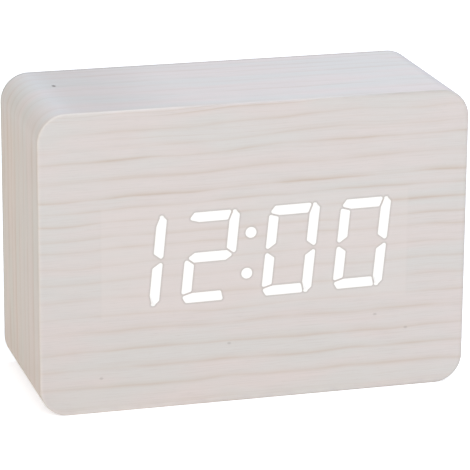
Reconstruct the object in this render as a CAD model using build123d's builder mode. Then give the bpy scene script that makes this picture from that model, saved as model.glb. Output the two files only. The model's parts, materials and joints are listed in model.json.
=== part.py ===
"""Brick-shaped wooden LED desk clock that shows 12:00 in slanted segments.

The case is a milled fibreboard block with thin wood veneer on every side.  A four
digit LED display lies in a window behind the front veneer.  The rear is closed by a
screwed panel with three keys, a power socket and a battery tray under a hinged door.

Lengths are in millimetres, angles in degrees.  +Z is up, the front looks along -Y,
and the origin lies under the middle of the case, on the surface that it stands on.
Places on the rear are given as seen from behind: u to the right (-X) and v up, both
from the middle of the case.
"""

import os
from math import cos, pi, radians, sin, sqrt, tan

from build123d import *

# Every cut runs this far past the faces that it opens
CUT_OVERRUN = 1.0

# Case block and its veneer
CASE_WIDTH = 100.0
CASE_HEIGHT = 70.0
CASE_DEPTH = 40.0
CASE_CORNER = 6.5
VENEER = 0.5
ARRIS = 0.3
SEAM_GAP = 0.15
SEAM_X = 30.0
SIDE_WALL = 7.0
FRONT_WALL = 4.0
POST = 6.0
CUTTER_RADIUS = 1.5

# Window in the front wall and the layers that fill it
WINDOW_CORNER = 1.5
WINDOW_FIT = 0.15
DIFFUSER = 0.4
WELL_TAPER = 5.0

# Digits, as they show on the front, sized to the window behind them
DIGIT_WIDTH_SHARE = 0.1681
DIGIT_HEIGHT_SHARE = 0.827
DIGIT_PITCH_SHARE = 0.2347
PAIR_PITCH_SHARE = 0.2611
DIGIT_SLANT = 5.5
ROW_TILT = 0.7
DISPLAY_X = -1.3
DISPLAY_RISE = 0.1
STROKE = 2.7
SEGMENT_GAP = 0.45
SEGMENT_ROUND = 0.25
CORNER_CUT = 1.3
MITRE_RUN = 0.85
TIP_DROP = 1.9
WAIST_RISE = 1.6
WAIST_CUT = 0.9
WAIST_INSET = 0.5
DOT_RADIUS = 1.3
DOT_SPACING_SHARE = 0.444
COLON_SHIFT = -0.4

# Display board and what is soldered to it
BOARD_THICKNESS = 1.6
BOARD_CLEARANCE_X = 2.5
BOARD_CLEARANCE_Z = 8.5
BOARD_LAP_X = 4.0
BOARD_LAP_Z = 6.0
LED_LENGTH = 1.6
LED_WIDTH = 0.8
LED_HEIGHT = 0.7
CHIP_LENGTH = 18.0
CHIP_WIDTH = 7.5
CHIP_HEIGHT = 2.3
CHIP_EDGE = 0.3
CHIP_U = 4.0
LEG_COUNT = 14
LEG_PITCH = 1.27
LEG_WIDTH = 0.42
LEG_REACH = 1.0
LEG_HEIGHT = 1.1
CRYSTAL_RADIUS = 1.0
CRYSTAL_LENGTH = 6.0
CRYSTAL_X = 4.0
CRYSTAL_RISE = 9.0
BUZZER_RADIUS = 5.0
BUZZER_HEIGHT = 4.5
BUZZER_RIM = 0.6
BUZZER_RECESS = 0.4
BUZZER_MOUTH = 1.0
BUZZER_DEPTH = 2.0
BUZZER_INSET_X = 16.0
BUZZER_INSET_Z = 10.0

# Rear panel
PANEL_LEDGE = 1.5
PANEL_GAP = 0.2
PANEL_THICKNESS = 2.2
PANEL_RECESS = 0.8
PANEL_CORNER = 4.0
PANEL_EDGE = 0.5
PANEL_SCREW_INSET = 4.0

# Screws: head, shank and cross recess
PANEL_HEAD_RADIUS = 2.0
PANEL_HEAD_HEIGHT = 1.1
PANEL_SHANK_RADIUS = 0.9
PANEL_SHANK_LENGTH = 9.0
BOARD_HEAD_RADIUS = 1.6
BOARD_HEAD_HEIGHT = 1.0
BOARD_SHANK_RADIUS = 0.7
BOARD_SHANK_LENGTH = 4.4
SCREW_FIT = 0.05
SCREW_HOLE_FIT = 0.2
HEAD_FIT = 0.25
COUNTERBORE_DEPTH = 1.2
SCREW_BLIND = 0.5
HEAD_RIM_SHARE = 0.45
POINT_SHARE = 0.2
CROSS_LENGTH_SHARE = 1.1
CROSS_WIDTH_SHARE = 0.25
CROSS_DEPTH_SHARE = 0.55

# Battery cells
CELL_RADIUS = 5.25
CELL_LENGTH = 43.6
CELL_EDGE = 0.5
NUB_RADIUS = 1.9
NUB_LENGTH = 0.9
CELL_GAP = 0.25
CELL_HEADROOM = 0.5

# Contact plates, springs and leads
CONTACT_THICKNESS = 0.4
CONTACT_FIT = 0.2
CONTACT_WIDTH = 9.0
CONTACT_CORNER = 0.8
TAIL_WIDTH = 3.0
TAIL_REACH = 1.6
SPRING_LENGTH = 4.7
SPRING_WIRE = 0.6
SPRING_TURNS = 3
SPRING_ARC_SHARE = 0.25
SPRING_SIDES = 6
SPRING_PROBES = 60
SPRING_BASE_RADIUS = 3.6
SPRING_TIP_RADIUS = 2.6
LEAD_DIAMETER = 1.0
LEAD_CLEARANCE = 0.1
LEAD_PAD_INSET = 2.6

# Battery tray, moulded to the panel
TRAY_WALL = 2.4
TRAY_FLOOR = 1.5
TRAY_CORNER = 1.5

# Battery door, hinged along its lower edge
DOOR_LAP = 1.2
DOOR_GAP = 0.25
DOOR_SEAT_GAP = 0.2
DOOR_EDGE = 0.3
PIN_RADIUS = 0.6
PIN_LENGTH = 1.2
PIN_FIT = 0.05
DOOR_RIB_INSET = 5.0
DOOR_RIB_WIDTH = 1.0
DOOR_RIB_DEPTH = 2.5
GRIP_COUNT = 4
GRIP_LENGTH = 14.0
GRIP_WIDTH = 0.7
GRIP_DEPTH = 0.4
GRIP_PITCH = 1.4
GRIP_INSET = 2.2
SCOOP_RADIUS = 8.0
SCOOP_RISE = 3.2
SCOOP_DEPTH = 1.1
SCOOP_TAPER = 30.0

# Keys, their switches and the small board that carries them
KEY_RADIUS = 3.2
KEY_SPACING = 1.0
KEY_PROUD = 0.6
KEY_FIT = 0.15
KEY_RIM = 0.4
KEY_TRAVEL = 0.5
KEY_WALL = 0.7
KEY_CROWN = 1.4
KEY_CORE_RADIUS = 1.6
KEY_EDGE = 0.4
KEY_DISH = 0.15
FLANGE_LIP = 0.8
FLANGE_THICKNESS = 1.0
FLANGE_GAP = 0.1
SWITCH_SIZE = 6.0
SWITCH_BODY = 3.4
PLUNGER_RADIUS = 1.7
PLUNGER_STAND = 0.9
PLUNGER_ROOT = 1.5
PLUNGER_FIT = 0.08
PLUNGER_SPARE = 0.1
PLUNGER_EDGE = 0.2
KEY_BOARD_WIDTH = 11.0
KEY_BOARD_GAP = 1.0
BOSS_RADIUS = 2.1
BOSS_GAP = 1.3
BOSS_INSET = 2.6

# Power socket
USB_WIDTH = 7.5
USB_HEIGHT = 2.6
USB_CUT = 0.9
USB_WALL = 0.3
USB_SETBACK = 0.6
USB_FIT = 0.3
USB_GAP = 2.1
USB_BASE = 2.0
TONGUE_WIDTH = 4.4
TONGUE_THICKNESS = 0.7
TONGUE_SETBACK = 0.9

# Ribbon cable between the two boards, and its sockets
RIBBON_WIDTH = 5.0
RIBBON_THICKNESS = 0.8
RIBBON_RISE = 4.0
RIBBON_RUN = 5.0
RIBBON_SEAT = 1.5
RIBBON_FIT = 0.1
SOCKET_WIDTH = 7.0
SOCKET_HEIGHT = 3.2
SOCKET_DEPTH = 4.0
BEND_SHARE = 0.45

# Stations along the depth, from the front to the rear
FRONT = -CASE_DEPTH / 2
REAR = CASE_DEPTH / 2
BLOCK_FRONT = FRONT + VENEER
BLOCK_REAR = REAR - VENEER
DIFFUSER_BACK = BLOCK_FRONT + DIFFUSER
CAVITY_FLOOR = BLOCK_FRONT + FRONT_WALL
DISPLAY_BOARD_REAR = CAVITY_FLOOR + BOARD_THICKNESS
PANEL_FACE = REAR - PANEL_RECESS
PANEL_BACK = PANEL_FACE - PANEL_THICKNESS
CELL_AXIS = PANEL_BACK - CELL_HEADROOM - CELL_RADIUS
TROUGH_RADIUS = CELL_RADIUS + CELL_GAP
TRAY_BED = CELL_AXIS - TROUGH_RADIUS
TRAY_BACK = TRAY_BED - TRAY_FLOOR
FLANGE_BACK = PANEL_BACK - FLANGE_GAP - FLANGE_THICKNESS
SWITCH_TOP = FLANGE_BACK - PLUNGER_STAND
KEY_BOARD_REAR = SWITCH_TOP - SWITCH_BODY
KEY_BOARD_FRONT = KEY_BOARD_REAR - BOARD_THICKNESS
USB_MOUTH = PANEL_FACE - USB_SETBACK

# Outlines that follow from the sizes above
CAVITY_WIDTH = CASE_WIDTH - 2 * VENEER - 2 * SIDE_WALL
CAVITY_HEIGHT = CASE_HEIGHT - 2 * VENEER - 2 * SIDE_WALL
PANEL_WIDTH = CAVITY_WIDTH + 2 * PANEL_LEDGE
PANEL_HEIGHT = CAVITY_HEIGHT + 2 * PANEL_LEDGE
DISPLAY_BOARD_WIDTH = CAVITY_WIDTH - 2 * BOARD_CLEARANCE_X
DISPLAY_BOARD_HEIGHT = CAVITY_HEIGHT - 2 * BOARD_CLEARANCE_Z
WINDOW_WIDTH = DISPLAY_BOARD_WIDTH - 2 * BOARD_LAP_X
WINDOW_HEIGHT = DISPLAY_BOARD_HEIGHT - 2 * BOARD_LAP_Z
BUZZER_U = BUZZER_INSET_X - DISPLAY_BOARD_WIDTH / 2
BUZZER_V = BUZZER_INSET_Z - DISPLAY_BOARD_HEIGHT / 2
CELL_PITCH = 2 * TROUGH_RADIUS
CELL_ROWS = (-CELL_PITCH, 0, CELL_PITCH)
TRAY_LENGTH = 2 * CONTACT_THICKNESS + CELL_LENGTH + NUB_LENGTH + SPRING_LENGTH
TRAY_HEIGHT = len(CELL_ROWS) * CELL_PITCH
TRAY_OUTER_LENGTH = TRAY_LENGTH + 2 * TRAY_WALL
TRAY_OUTER_HEIGHT = TRAY_HEIGHT + 2 * TRAY_WALL
REAR_SPAN = TRAY_OUTER_LENGTH + KEY_BOARD_GAP + KEY_BOARD_WIDTH
TRAY_U = (TRAY_OUTER_LENGTH - REAR_SPAN) / 2
TRAY_LOW_X = -TRAY_U - TRAY_LENGTH / 2
TRAY_HIGH_X = -TRAY_U + TRAY_LENGTH / 2
CONTACT_POCKET = CONTACT_THICKNESS + CONTACT_FIT
DOOR_LENGTH = TRAY_LENGTH + 2 * DOOR_LAP
DOOR_HEIGHT = TRAY_HEIGHT + 2 * DOOR_LAP
DOOR_THICKNESS = PANEL_THICKNESS
DOOR_TOP = DOOR_HEIGHT / 2
HINGE_Y = PANEL_FACE - DOOR_THICKNESS / 2
HINGE_V = -DOOR_HEIGHT / 2 + DOOR_THICKNESS / 2
KEY_U = (REAR_SPAN - KEY_BOARD_WIDTH) / 2
KEY_NAMES = ("set", "up", "down")
FLANGE_RADIUS = KEY_RADIUS + FLANGE_LIP
KEY_PITCH = 2 * FLANGE_RADIUS + KEY_SPACING
KEY_SPAN = (len(KEY_NAMES) - 1) * KEY_PITCH
USB_DROP = FLANGE_RADIUS + USB_GAP + USB_HEIGHT / 2
BOSS_SPAN = SWITCH_SIZE / 2 + KEY_SPAN + USB_DROP + USB_HEIGHT / 2 + 2 * (BOSS_GAP + BOSS_RADIUS)
BOSS_V = BOSS_SPAN / 2
BOSS_SPOTS = [(KEY_U, BOSS_V), (KEY_U, -BOSS_V)]
KEY_BOARD_HEIGHT = BOSS_SPAN + 2 * BOSS_INSET
KEY_TOP = BOSS_V - BOSS_RADIUS - BOSS_GAP - SWITCH_SIZE / 2
KEY_SPOTS = [(KEY_U, KEY_TOP - row * KEY_PITCH) for row in range(len(KEY_NAMES))]
USB_V = KEY_TOP - KEY_SPAN - USB_DROP
PANEL_SCREW_U = PANEL_WIDTH / 2 - PANEL_SCREW_INSET
PANEL_SCREW_V = PANEL_HEIGHT / 2 - PANEL_SCREW_INSET
PANEL_SCREW_SPOTS = [
    (u, v) for u in (-PANEL_SCREW_U, PANEL_SCREW_U) for v in (-PANEL_SCREW_V, PANEL_SCREW_V)
]
DISPLAY_SCREW_U = (WINDOW_WIDTH + BOARD_LAP_X) / 2
DISPLAY_SCREW_V = (WINDOW_HEIGHT + BOARD_LAP_Z) / 2
DISPLAY_SCREW_SPOTS = [
    (u, v) for u in (-DISPLAY_SCREW_U, DISPLAY_SCREW_U) for v in (-DISPLAY_SCREW_V, DISPLAY_SCREW_V)
]

# Segments that light up at 12:00, digit by digit from the left
LIT_LETTERS = {
    "digit_hour_tens": "bc",
    "digit_hour_units": "abged",
    "digit_minute_tens": "abcdef",
    "digit_minute_units": "abcdef",
}
FLAT_LETTERS = "agd"
ALL_LETTERS = "abcdefg"
DIGIT_WIDTH = WINDOW_WIDTH * DIGIT_WIDTH_SHARE
DIGIT_HEIGHT = WINDOW_HEIGHT * DIGIT_HEIGHT_SHARE
DOT_SPACING = DIGIT_HEIGHT * DOT_SPACING_SHARE
INNER_DIGIT = WINDOW_WIDTH * PAIR_PITCH_SHARE / 2
OUTER_DIGIT = INNER_DIGIT + WINDOW_WIDTH * DIGIT_PITCH_SHARE
DIGIT_CENTRES = [
    DISPLAY_X + shift for shift in (-OUTER_DIGIT, -INNER_DIGIT, INNER_DIGIT, OUTER_DIGIT)
]


def front_plane(y):
    """Plane across the case at depth y, seen from the front: local x is +X, normal -Y."""
    return Plane(origin=(0, y, CASE_HEIGHT / 2), x_dir=(1, 0, 0), z_dir=(0, -1, 0))


def rear_plane(y):
    """Plane across the case at depth y, seen from behind: local x is -X, normal +Y."""
    return Plane(origin=(0, y, CASE_HEIGHT / 2), x_dir=(-1, 0, 0), z_dir=(0, 1, 0))


def side_plane(x):
    """Plane at x that looks along the case: local x is +Y, local y is up, normal +X."""
    return Plane(origin=(x, 0, CASE_HEIGHT / 2), x_dir=(0, 1, 0), z_dir=(1, 0, 0))


def rear_spots(y, places):
    """Places (u, v) on the plane at depth y, facing the rear."""
    return [rear_plane(y).location * Pos(u, v) for u, v in places]


def front_spots(y, places):
    """The same places (u, v), facing the front."""
    return [front_plane(y).location * Pos(-u, v) for u, v in places]


def axial_plane(base):
    """Plane through the normal of base: local x is radial, local y runs along the normal."""
    return Plane(origin=base.origin, x_dir=base.x_dir, z_dir=-base.y_dir)


def save(piece, label):
    """Name a finished piece and write it."""
    piece.part.label = label
    export_step(piece.part, f"parts/{label}.step")


def case_outline(inset, mode=Mode.ADD):
    """Front outline of the case, moved in by inset."""
    RectangleRounded(CASE_WIDTH - 2 * inset, CASE_HEIGHT - 2 * inset, CASE_CORNER - inset, mode=mode)


def panel_outline(gap, mode=Mode.ADD):
    """Outline of the rear panel, moved out by gap."""
    RectangleRounded(PANEL_WIDTH + 2 * gap, PANEL_HEIGHT + 2 * gap, PANEL_CORNER + gap, mode=mode)


def window_outline(fit):
    """Outline of the display window, moved in by fit."""
    RectangleRounded(WINDOW_WIDTH - 2 * fit, WINDOW_HEIGHT - 2 * fit, WINDOW_CORNER - fit)


def upright_segment(letter):
    """Outline of one segment in an upright digit, around the middle of the digit.

    Segments a and d own the left corners, b and c the right ones.  The uprights taper
    to points at the waist, where the bar g comes between them.
    """
    half_w = DIGIT_WIDTH / 2
    half_h = DIGIT_HEIGHT / 2
    inner_w = half_w - STROKE
    inner_h = half_h - STROKE
    waist = half_w - WAIST_INSET
    shoulder = waist - STROKE / 2 * (STROKE - WAIST_INSET) / WAIST_RISE
    top = [
        (-half_w, half_h - TIP_DROP),
        (-half_w + CORNER_CUT, half_h),
        (inner_w + MITRE_RUN, half_h),
        (inner_w, inner_h),
        (-inner_w, inner_h),
    ]
    right = [
        (inner_w + MITRE_RUN, half_h),
        (half_w - CORNER_CUT, half_h),
        (half_w, half_h - CORNER_CUT),
        (half_w, WAIST_CUT),
        (waist, 0),
        (inner_w, WAIST_RISE),
        (inner_w, inner_h),
    ]
    left = [
        (-half_w, half_h - TIP_DROP),
        (-inner_w, inner_h),
        (-inner_w, WAIST_RISE),
        (-waist, 0),
        (-half_w, WAIST_CUT),
    ]
    bar = [
        (-waist, 0),
        (-shoulder, STROKE / 2),
        (shoulder, STROKE / 2),
        (waist, 0),
        (shoulder, -STROKE / 2),
        (-shoulder, -STROKE / 2),
    ]
    upper = {"a": top, "b": right, "f": left, "g": bar}
    lower = {"d": top, "c": right, "e": left}
    if letter in upper:
        return upper[letter]
    return [(x, -y) for x, y in lower[letter]]


def slanted(points, centre_x):
    """Points of an upright digit, slanted and moved to its place in the slightly tilted row."""
    lean = tan(radians(DIGIT_SLANT))
    climb = tan(radians(ROW_TILT))
    return [
        (centre_x + x + y * lean, DISPLAY_RISE + y + (centre_x + x - DISPLAY_X) * climb) for x, y in points
    ]


def segment_blank(letter, centre_x, inset):
    """Sharp outline of one segment, moved in on all sides by inset."""
    outline = Polygon(*slanted(upright_segment(letter), centre_x), align=None, mode=Mode.PRIVATE)
    return offset(outline, -inset, kind=Kind.INTERSECTION, mode=Mode.PRIVATE)


def dot_places():
    """Centres of the two colon dots, which follow the slant of the digits."""
    return slanted([(COLON_SHIFT, DOT_SPACING / 2), (COLON_SHIFT, -DOT_SPACING / 2)], DISPLAY_X)


def segment_middle(letter, centre_x):
    """Middle of a segment: the mean of its corners."""
    corners = slanted(upright_segment(letter), centre_x)
    return tuple(sum(axis) / len(corners) for axis in zip(*corners))


def make_digit(label, letters, centre_x):
    """The lit segments of one digit, flush with the veneer around them."""
    with BuildPart() as digit:
        with BuildSketch(front_plane(BLOCK_FRONT)):
            for letter in letters:
                core = segment_blank(letter, centre_x, SEGMENT_GAP / 2 + SEGMENT_ROUND)
                offset(core, SEGMENT_ROUND, kind=Kind.ARC, mode=Mode.ADD)
        extrude(amount=VENEER)
    save(digit, label)
    return digit


def make_screws(label, spots, head_radius, head_height, shank_radius, shank_length):
    """Domed cross-recess screws; each spot is a seat of the head, facing out."""
    cross_length = head_radius * CROSS_LENGTH_SHARE
    cross_width = head_radius * CROSS_WIDTH_SHARE
    cross_depth = head_height * CROSS_DEPTH_SHARE
    with BuildPart() as screws:
        for spot in spots:
            base = Plane(spot)
            with BuildSketch(axial_plane(base)):
                with BuildLine():
                    rim = (head_radius, head_height * HEAD_RIM_SHARE)
                    TangentArc((0, head_height), rim, tangent=(1, 0))
                    Polyline(
                        rim,
                        (head_radius, 0),
                        (shank_radius, 0),
                        (shank_radius, -shank_length * (1 - POINT_SHARE)),
                        (0, -shank_length),
                        (0, head_height),
                    )
                make_face()
            revolve(axis=Axis(base.origin, base.z_dir))
            with Locations(base.offset(head_height).location):
                Box(cross_length, cross_width, 2 * cross_depth, mode=Mode.SUBTRACT)
                Box(cross_width, cross_length, 2 * cross_depth, mode=Mode.SUBTRACT)
    save(screws, label)


def make_key(label, place):
    """Key cap: a dished crown on a hollow skirt, with a flange that stays behind the panel."""
    base = Plane(rear_spots(FLANGE_BACK, [place])[0])
    top = PANEL_FACE + KEY_PROUD - FLANGE_BACK
    hollow = top - KEY_CROWN
    with BuildPart() as key:
        with BuildSketch(axial_plane(base)):
            with BuildLine():
                Polyline(
                    (0, 0),
                    (KEY_CORE_RADIUS, 0),
                    (KEY_CORE_RADIUS, hollow),
                    (KEY_RADIUS - KEY_WALL, hollow),
                    (KEY_RADIUS - KEY_WALL, 0),
                    (FLANGE_RADIUS, 0),
                    (FLANGE_RADIUS, FLANGE_THICKNESS),
                    (KEY_RADIUS, FLANGE_THICKNESS),
                    (KEY_RADIUS, top - KEY_EDGE),
                )
                TangentArc((KEY_RADIUS, top - KEY_EDGE), (KEY_RADIUS - KEY_EDGE, top), tangent=(0, 1))
                TangentArc((0, top - KEY_DISH), (KEY_RADIUS - KEY_EDGE, top), tangent=(1, 0))
                Line((0, top - KEY_DISH), (0, 0))
            make_face()
        revolve(axis=Axis(base.origin, base.z_dir))
    save(key, label)


def make_plunger(label, place):
    """Plunger of a switch, which the key's core presses."""
    with BuildPart() as plunger:
        with BuildSketch(rear_plane(FLANGE_BACK)):
            with Locations(place):
                Circle(PLUNGER_RADIUS)
        extrude(amount=-(PLUNGER_STAND + PLUNGER_ROOT))
        chamfer(plunger.edges().group_by(Axis.Y)[-1], PLUNGER_EDGE)
    save(plunger, label)


def make_battery(label, row, nub_low):
    """One round cell; nub_low puts its positive nub at the low-X end of the tray."""
    start = TRAY_LOW_X + CONTACT_THICKNESS + (NUB_LENGTH + CELL_LENGTH if nub_low else SPRING_LENGTH)
    toward = -1 if nub_low else 1
    base = Plane(origin=(start, CELL_AXIS, CASE_HEIGHT / 2 + row), x_dir=(0, 1, 0), z_dir=(toward, 0, 0))
    with BuildPart() as battery:
        with BuildSketch(axial_plane(base)):
            with BuildLine():
                Polyline(
                    (0, 0),
                    (CELL_RADIUS - CELL_EDGE, 0),
                    (CELL_RADIUS, CELL_EDGE),
                    (CELL_RADIUS, CELL_LENGTH - CELL_EDGE),
                    (CELL_RADIUS - CELL_EDGE, CELL_LENGTH),
                    (NUB_RADIUS, CELL_LENGTH),
                    (NUB_RADIUS, CELL_LENGTH + NUB_LENGTH),
                    (0, CELL_LENGTH + NUB_LENGTH),
                    close=True,
                )
            make_face()
        revolve(axis=Axis(base.origin, base.z_dir))
    save(battery, label)


def spring_point(turn, root, toward, row):
    """Point on the conical coil after that many turns, from the plate at root."""
    share = turn / SPRING_TURNS
    radius = SPRING_BASE_RADIUS + (SPRING_TIP_RADIUS - SPRING_BASE_RADIUS) * share
    reach = SPRING_WIRE / 2 + (SPRING_LENGTH - SPRING_WIRE) * share
    angle = 2 * pi * turn
    height = CASE_HEIGHT / 2 + row
    return Vector(root + toward * reach, CELL_AXIS + radius * cos(angle), height + radius * sin(angle))


def spring_heading(turn, root, toward, row):
    """Unit tangent of the coil, from two points close to each other."""
    step = SPRING_ARC_SHARE / SPRING_PROBES
    ahead = spring_point(turn + step, root, toward, row)
    return (ahead - spring_point(turn - step, root, toward, row)).normalized()


def add_quarter_turn(turn, root, toward, row):
    """A quarter turn as two arcs that share a tangent, each leaving along the coil."""
    start = spring_point(turn, root, toward, row)
    end = spring_point(turn + SPRING_ARC_SHARE, root, toward, row)
    leave = spring_heading(turn, root, toward, row)
    arrive = spring_heading(turn + SPRING_ARC_SHARE, root, toward, row)
    chord = end - start
    both = leave + arrive
    bend = 2 * (1 - leave.dot(arrive))
    along = chord.dot(both)
    arm = (sqrt(along * along + bend * chord.dot(chord)) - along) / bend
    first = start + leave * arm
    second = end - arrive * arm
    middle = (first + second) / 2
    TangentArc(start, middle, tangent=leave)
    TangentArc(middle, end, tangent=second - first)


def make_spring(root, toward, row):
    """One conical contact spring, swept from the plate at root to the end of its cell."""
    start = spring_point(0, root, toward, row)
    with BuildPart() as spring:
        with BuildLine() as coil:
            for quarter in range(round(SPRING_TURNS / SPRING_ARC_SHARE)):
                add_quarter_turn(quarter * SPRING_ARC_SHARE, root, toward, row)
        with BuildSketch(Plane(origin=start, z_dir=coil.line % 0)):
            RegularPolygon(SPRING_WIRE / 2, SPRING_SIDES)
        sweep(path=coil.line)
    return spring


def least_spring_gap():
    """Least distance between the surfaces of neighbouring turns, measured on points."""
    count = SPRING_PROBES * SPRING_TURNS
    apart = SPRING_PROBES // 2
    points = [spring_point(step / SPRING_PROBES, 0, 1, 0) for step in range(count + 1)]
    pairs = [(points[i] - points[j]).length for i in range(count + 1) for j in range(i + apart, count + 1)]
    return min(pairs) - SPRING_WIRE


def bend_radius(points):
    """Radius that each inner corner of a route has room for."""
    radii = []
    for before, corner, after in zip(points, points[1:], points[2:]):
        come = corner - before
        go = after - corner
        half_turn = radians(come.get_angle(go)) / 2
        radii.append(BEND_SHARE * min(come.length, go.length) / tan(half_turn))
    return radii


def make_lead(label, start_x, row):
    """Battery lead: along the underside of the tray, then up to its pad on the key board."""
    y = TRAY_BACK - LEAD_CLEARANCE - LEAD_DIAMETER / 2
    z = CASE_HEIGHT / 2 + row
    pad_x = -(KEY_U - KEY_BOARD_WIDTH / 2 + LEAD_PAD_INSET)
    route = [Vector(start_x, y, z), Vector(pad_x, y, z), Vector(pad_x, KEY_BOARD_FRONT, z)]
    radii = bend_radius(route)
    print(label, "bend radius", [round(radius, 2) for radius in radii])
    with BuildPart() as lead:
        with BuildLine() as path:
            FilletPolyline(*route, radius=radii[0])
        with BuildSketch(Plane(origin=route[0], z_dir=path.line % 0)):
            Circle(LEAD_DIAMETER / 2)
        sweep(path=path.line)
    save(lead, label)


os.makedirs("parts", exist_ok=True)

# Case block: cavity with four screw posts, rebate for the panel, window for the display
with BuildPart() as case_block:
    with BuildSketch(rear_plane(BLOCK_REAR)):
        case_outline(VENEER)
    extrude(amount=-(BLOCK_REAR - BLOCK_FRONT))
    with BuildSketch(rear_plane(BLOCK_REAR)) as cavity:
        Rectangle(CAVITY_WIDTH, CAVITY_HEIGHT)
        with GridLocations(CAVITY_WIDTH - POST, CAVITY_HEIGHT - POST, 2, 2):
            Rectangle(POST, POST, mode=Mode.SUBTRACT)
        fillet(cavity.vertices(), CUTTER_RADIUS)
    extrude(amount=-(BLOCK_REAR - CAVITY_FLOOR), mode=Mode.SUBTRACT)
    with BuildSketch(rear_plane(BLOCK_REAR)):
        panel_outline(PANEL_GAP)
    extrude(amount=-(BLOCK_REAR - PANEL_BACK), mode=Mode.SUBTRACT)
    with BuildSketch(front_plane(BLOCK_FRONT)):
        window_outline(0)
    extrude(amount=-FRONT_WALL, mode=Mode.SUBTRACT)
    with Locations(*rear_spots(PANEL_BACK, PANEL_SCREW_SPOTS)):
        Hole(PANEL_SHANK_RADIUS + SCREW_FIT, depth=PANEL_SHANK_LENGTH + SCREW_BLIND)
    with Locations(*rear_spots(CAVITY_FLOOR, DISPLAY_SCREW_SPOTS)):
        Hole(BOARD_SHANK_RADIUS + SCREW_FIT, depth=BOARD_SHANK_LENGTH - BOARD_THICKNESS + SCREW_BLIND)
save(case_block, "case_block")

# Lit segments and colon dots
digits = [
    make_digit(label, letters, centre_x)
    for (label, letters), centre_x in zip(LIT_LETTERS.items(), DIGIT_CENTRES)
]
with BuildPart() as colon_dots:
    with BuildSketch(front_plane(BLOCK_FRONT)):
        with Locations(*dot_places()):
            Circle(DOT_RADIUS)
    extrude(amount=VENEER)
save(colon_dots, "colon_dots")

# Veneer: a full sheet in front, a strip round the edge, a framed sheet behind
with BuildPart() as front_veneer:
    with BuildSketch(front_plane(BLOCK_FRONT)):
        case_outline(0)
    extrude(amount=VENEER)
    fillet(front_veneer.faces().sort_by(Axis.Y)[0].outer_wire().edges(), ARRIS)
    for lit in [*digits, colon_dots]:
        add(lit.part, mode=Mode.SUBTRACT)
save(front_veneer, "front_veneer")

with BuildPart() as edge_veneer:
    with BuildSketch(front_plane(BLOCK_REAR)):
        case_outline(0)
        case_outline(VENEER, mode=Mode.SUBTRACT)
        with Locations((SEAM_X, -CASE_HEIGHT / 2)):
            Rectangle(SEAM_GAP, 2 * VENEER + CUT_OVERRUN, mode=Mode.SUBTRACT)
    extrude(amount=BLOCK_REAR - BLOCK_FRONT)
save(edge_veneer, "edge_veneer")

with BuildPart() as rear_veneer:
    with BuildSketch(rear_plane(BLOCK_REAR)):
        case_outline(0)
        panel_outline(PANEL_GAP, mode=Mode.SUBTRACT)
    extrude(amount=VENEER)
    fillet(rear_veneer.faces().sort_by(Axis.Y)[-1].outer_wire().edges(), ARRIS)
save(rear_veneer, "rear_veneer")

# Display: diffuser, reflector with a tapered well for every segment, LEDs on their board
with BuildPart() as light_diffuser:
    with BuildSketch(front_plane(DIFFUSER_BACK)):
        window_outline(WINDOW_FIT)
    extrude(amount=DIFFUSER)
save(light_diffuser, "light_diffuser")

with BuildPart() as segment_reflector:
    with BuildSketch(front_plane(CAVITY_FLOOR)):
        window_outline(WINDOW_FIT)
    extrude(amount=CAVITY_FLOOR - DIFFUSER_BACK)
    with BuildSketch(front_plane(DIFFUSER_BACK)):
        for centre_x in DIGIT_CENTRES:
            for letter in ALL_LETTERS:
                add(segment_blank(letter, centre_x, SEGMENT_GAP / 2))
        with Locations(*dot_places()):
            Circle(DOT_RADIUS)
    extrude(amount=-(CAVITY_FLOOR - DIFFUSER_BACK + CUT_OVERRUN), taper=WELL_TAPER, mode=Mode.SUBTRACT)
save(segment_reflector, "segment_reflector")

with BuildPart() as led_chips:
    with BuildSketch(front_plane(CAVITY_FLOOR)):
        for centre_x in DIGIT_CENTRES:
            for letter in ALL_LETTERS:
                with Locations(segment_middle(letter, centre_x)):
                    if letter in FLAT_LETTERS:
                        Rectangle(LED_LENGTH, LED_WIDTH)
                    else:
                        Rectangle(LED_WIDTH, LED_LENGTH)
        with Locations(*dot_places()):
            Rectangle(LED_LENGTH, LED_WIDTH)
    extrude(amount=LED_HEIGHT)
save(led_chips, "led_chips")

with BuildPart() as display_board:
    with BuildSketch(rear_plane(CAVITY_FLOOR)):
        Rectangle(DISPLAY_BOARD_WIDTH, DISPLAY_BOARD_HEIGHT)
        with Locations(*DISPLAY_SCREW_SPOTS):
            Circle(BOARD_SHANK_RADIUS + SCREW_HOLE_FIT, mode=Mode.SUBTRACT)
    extrude(amount=BOARD_THICKNESS)
save(display_board, "display_board")

make_screws(
    "display_screws",
    rear_spots(DISPLAY_BOARD_REAR, DISPLAY_SCREW_SPOTS),
    BOARD_HEAD_RADIUS,
    BOARD_HEAD_HEIGHT,
    BOARD_SHANK_RADIUS,
    BOARD_SHANK_LENGTH,
)

with BuildPart() as clock_chip:
    with BuildSketch(rear_plane(DISPLAY_BOARD_REAR)):
        with Locations((CHIP_U, 0)):
            Rectangle(CHIP_LENGTH, CHIP_WIDTH)
    extrude(amount=CHIP_HEIGHT)
    chamfer(clock_chip.faces().sort_by(Axis.Y)[-1].edges(), CHIP_EDGE)
    with BuildSketch(rear_plane(DISPLAY_BOARD_REAR)):
        with Locations((CHIP_U, 0)):
            with GridLocations(LEG_PITCH, CHIP_WIDTH + LEG_REACH, LEG_COUNT, 2):
                Rectangle(LEG_WIDTH, LEG_REACH)
    extrude(amount=LEG_HEIGHT)
save(clock_chip, "clock_chip")

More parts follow.
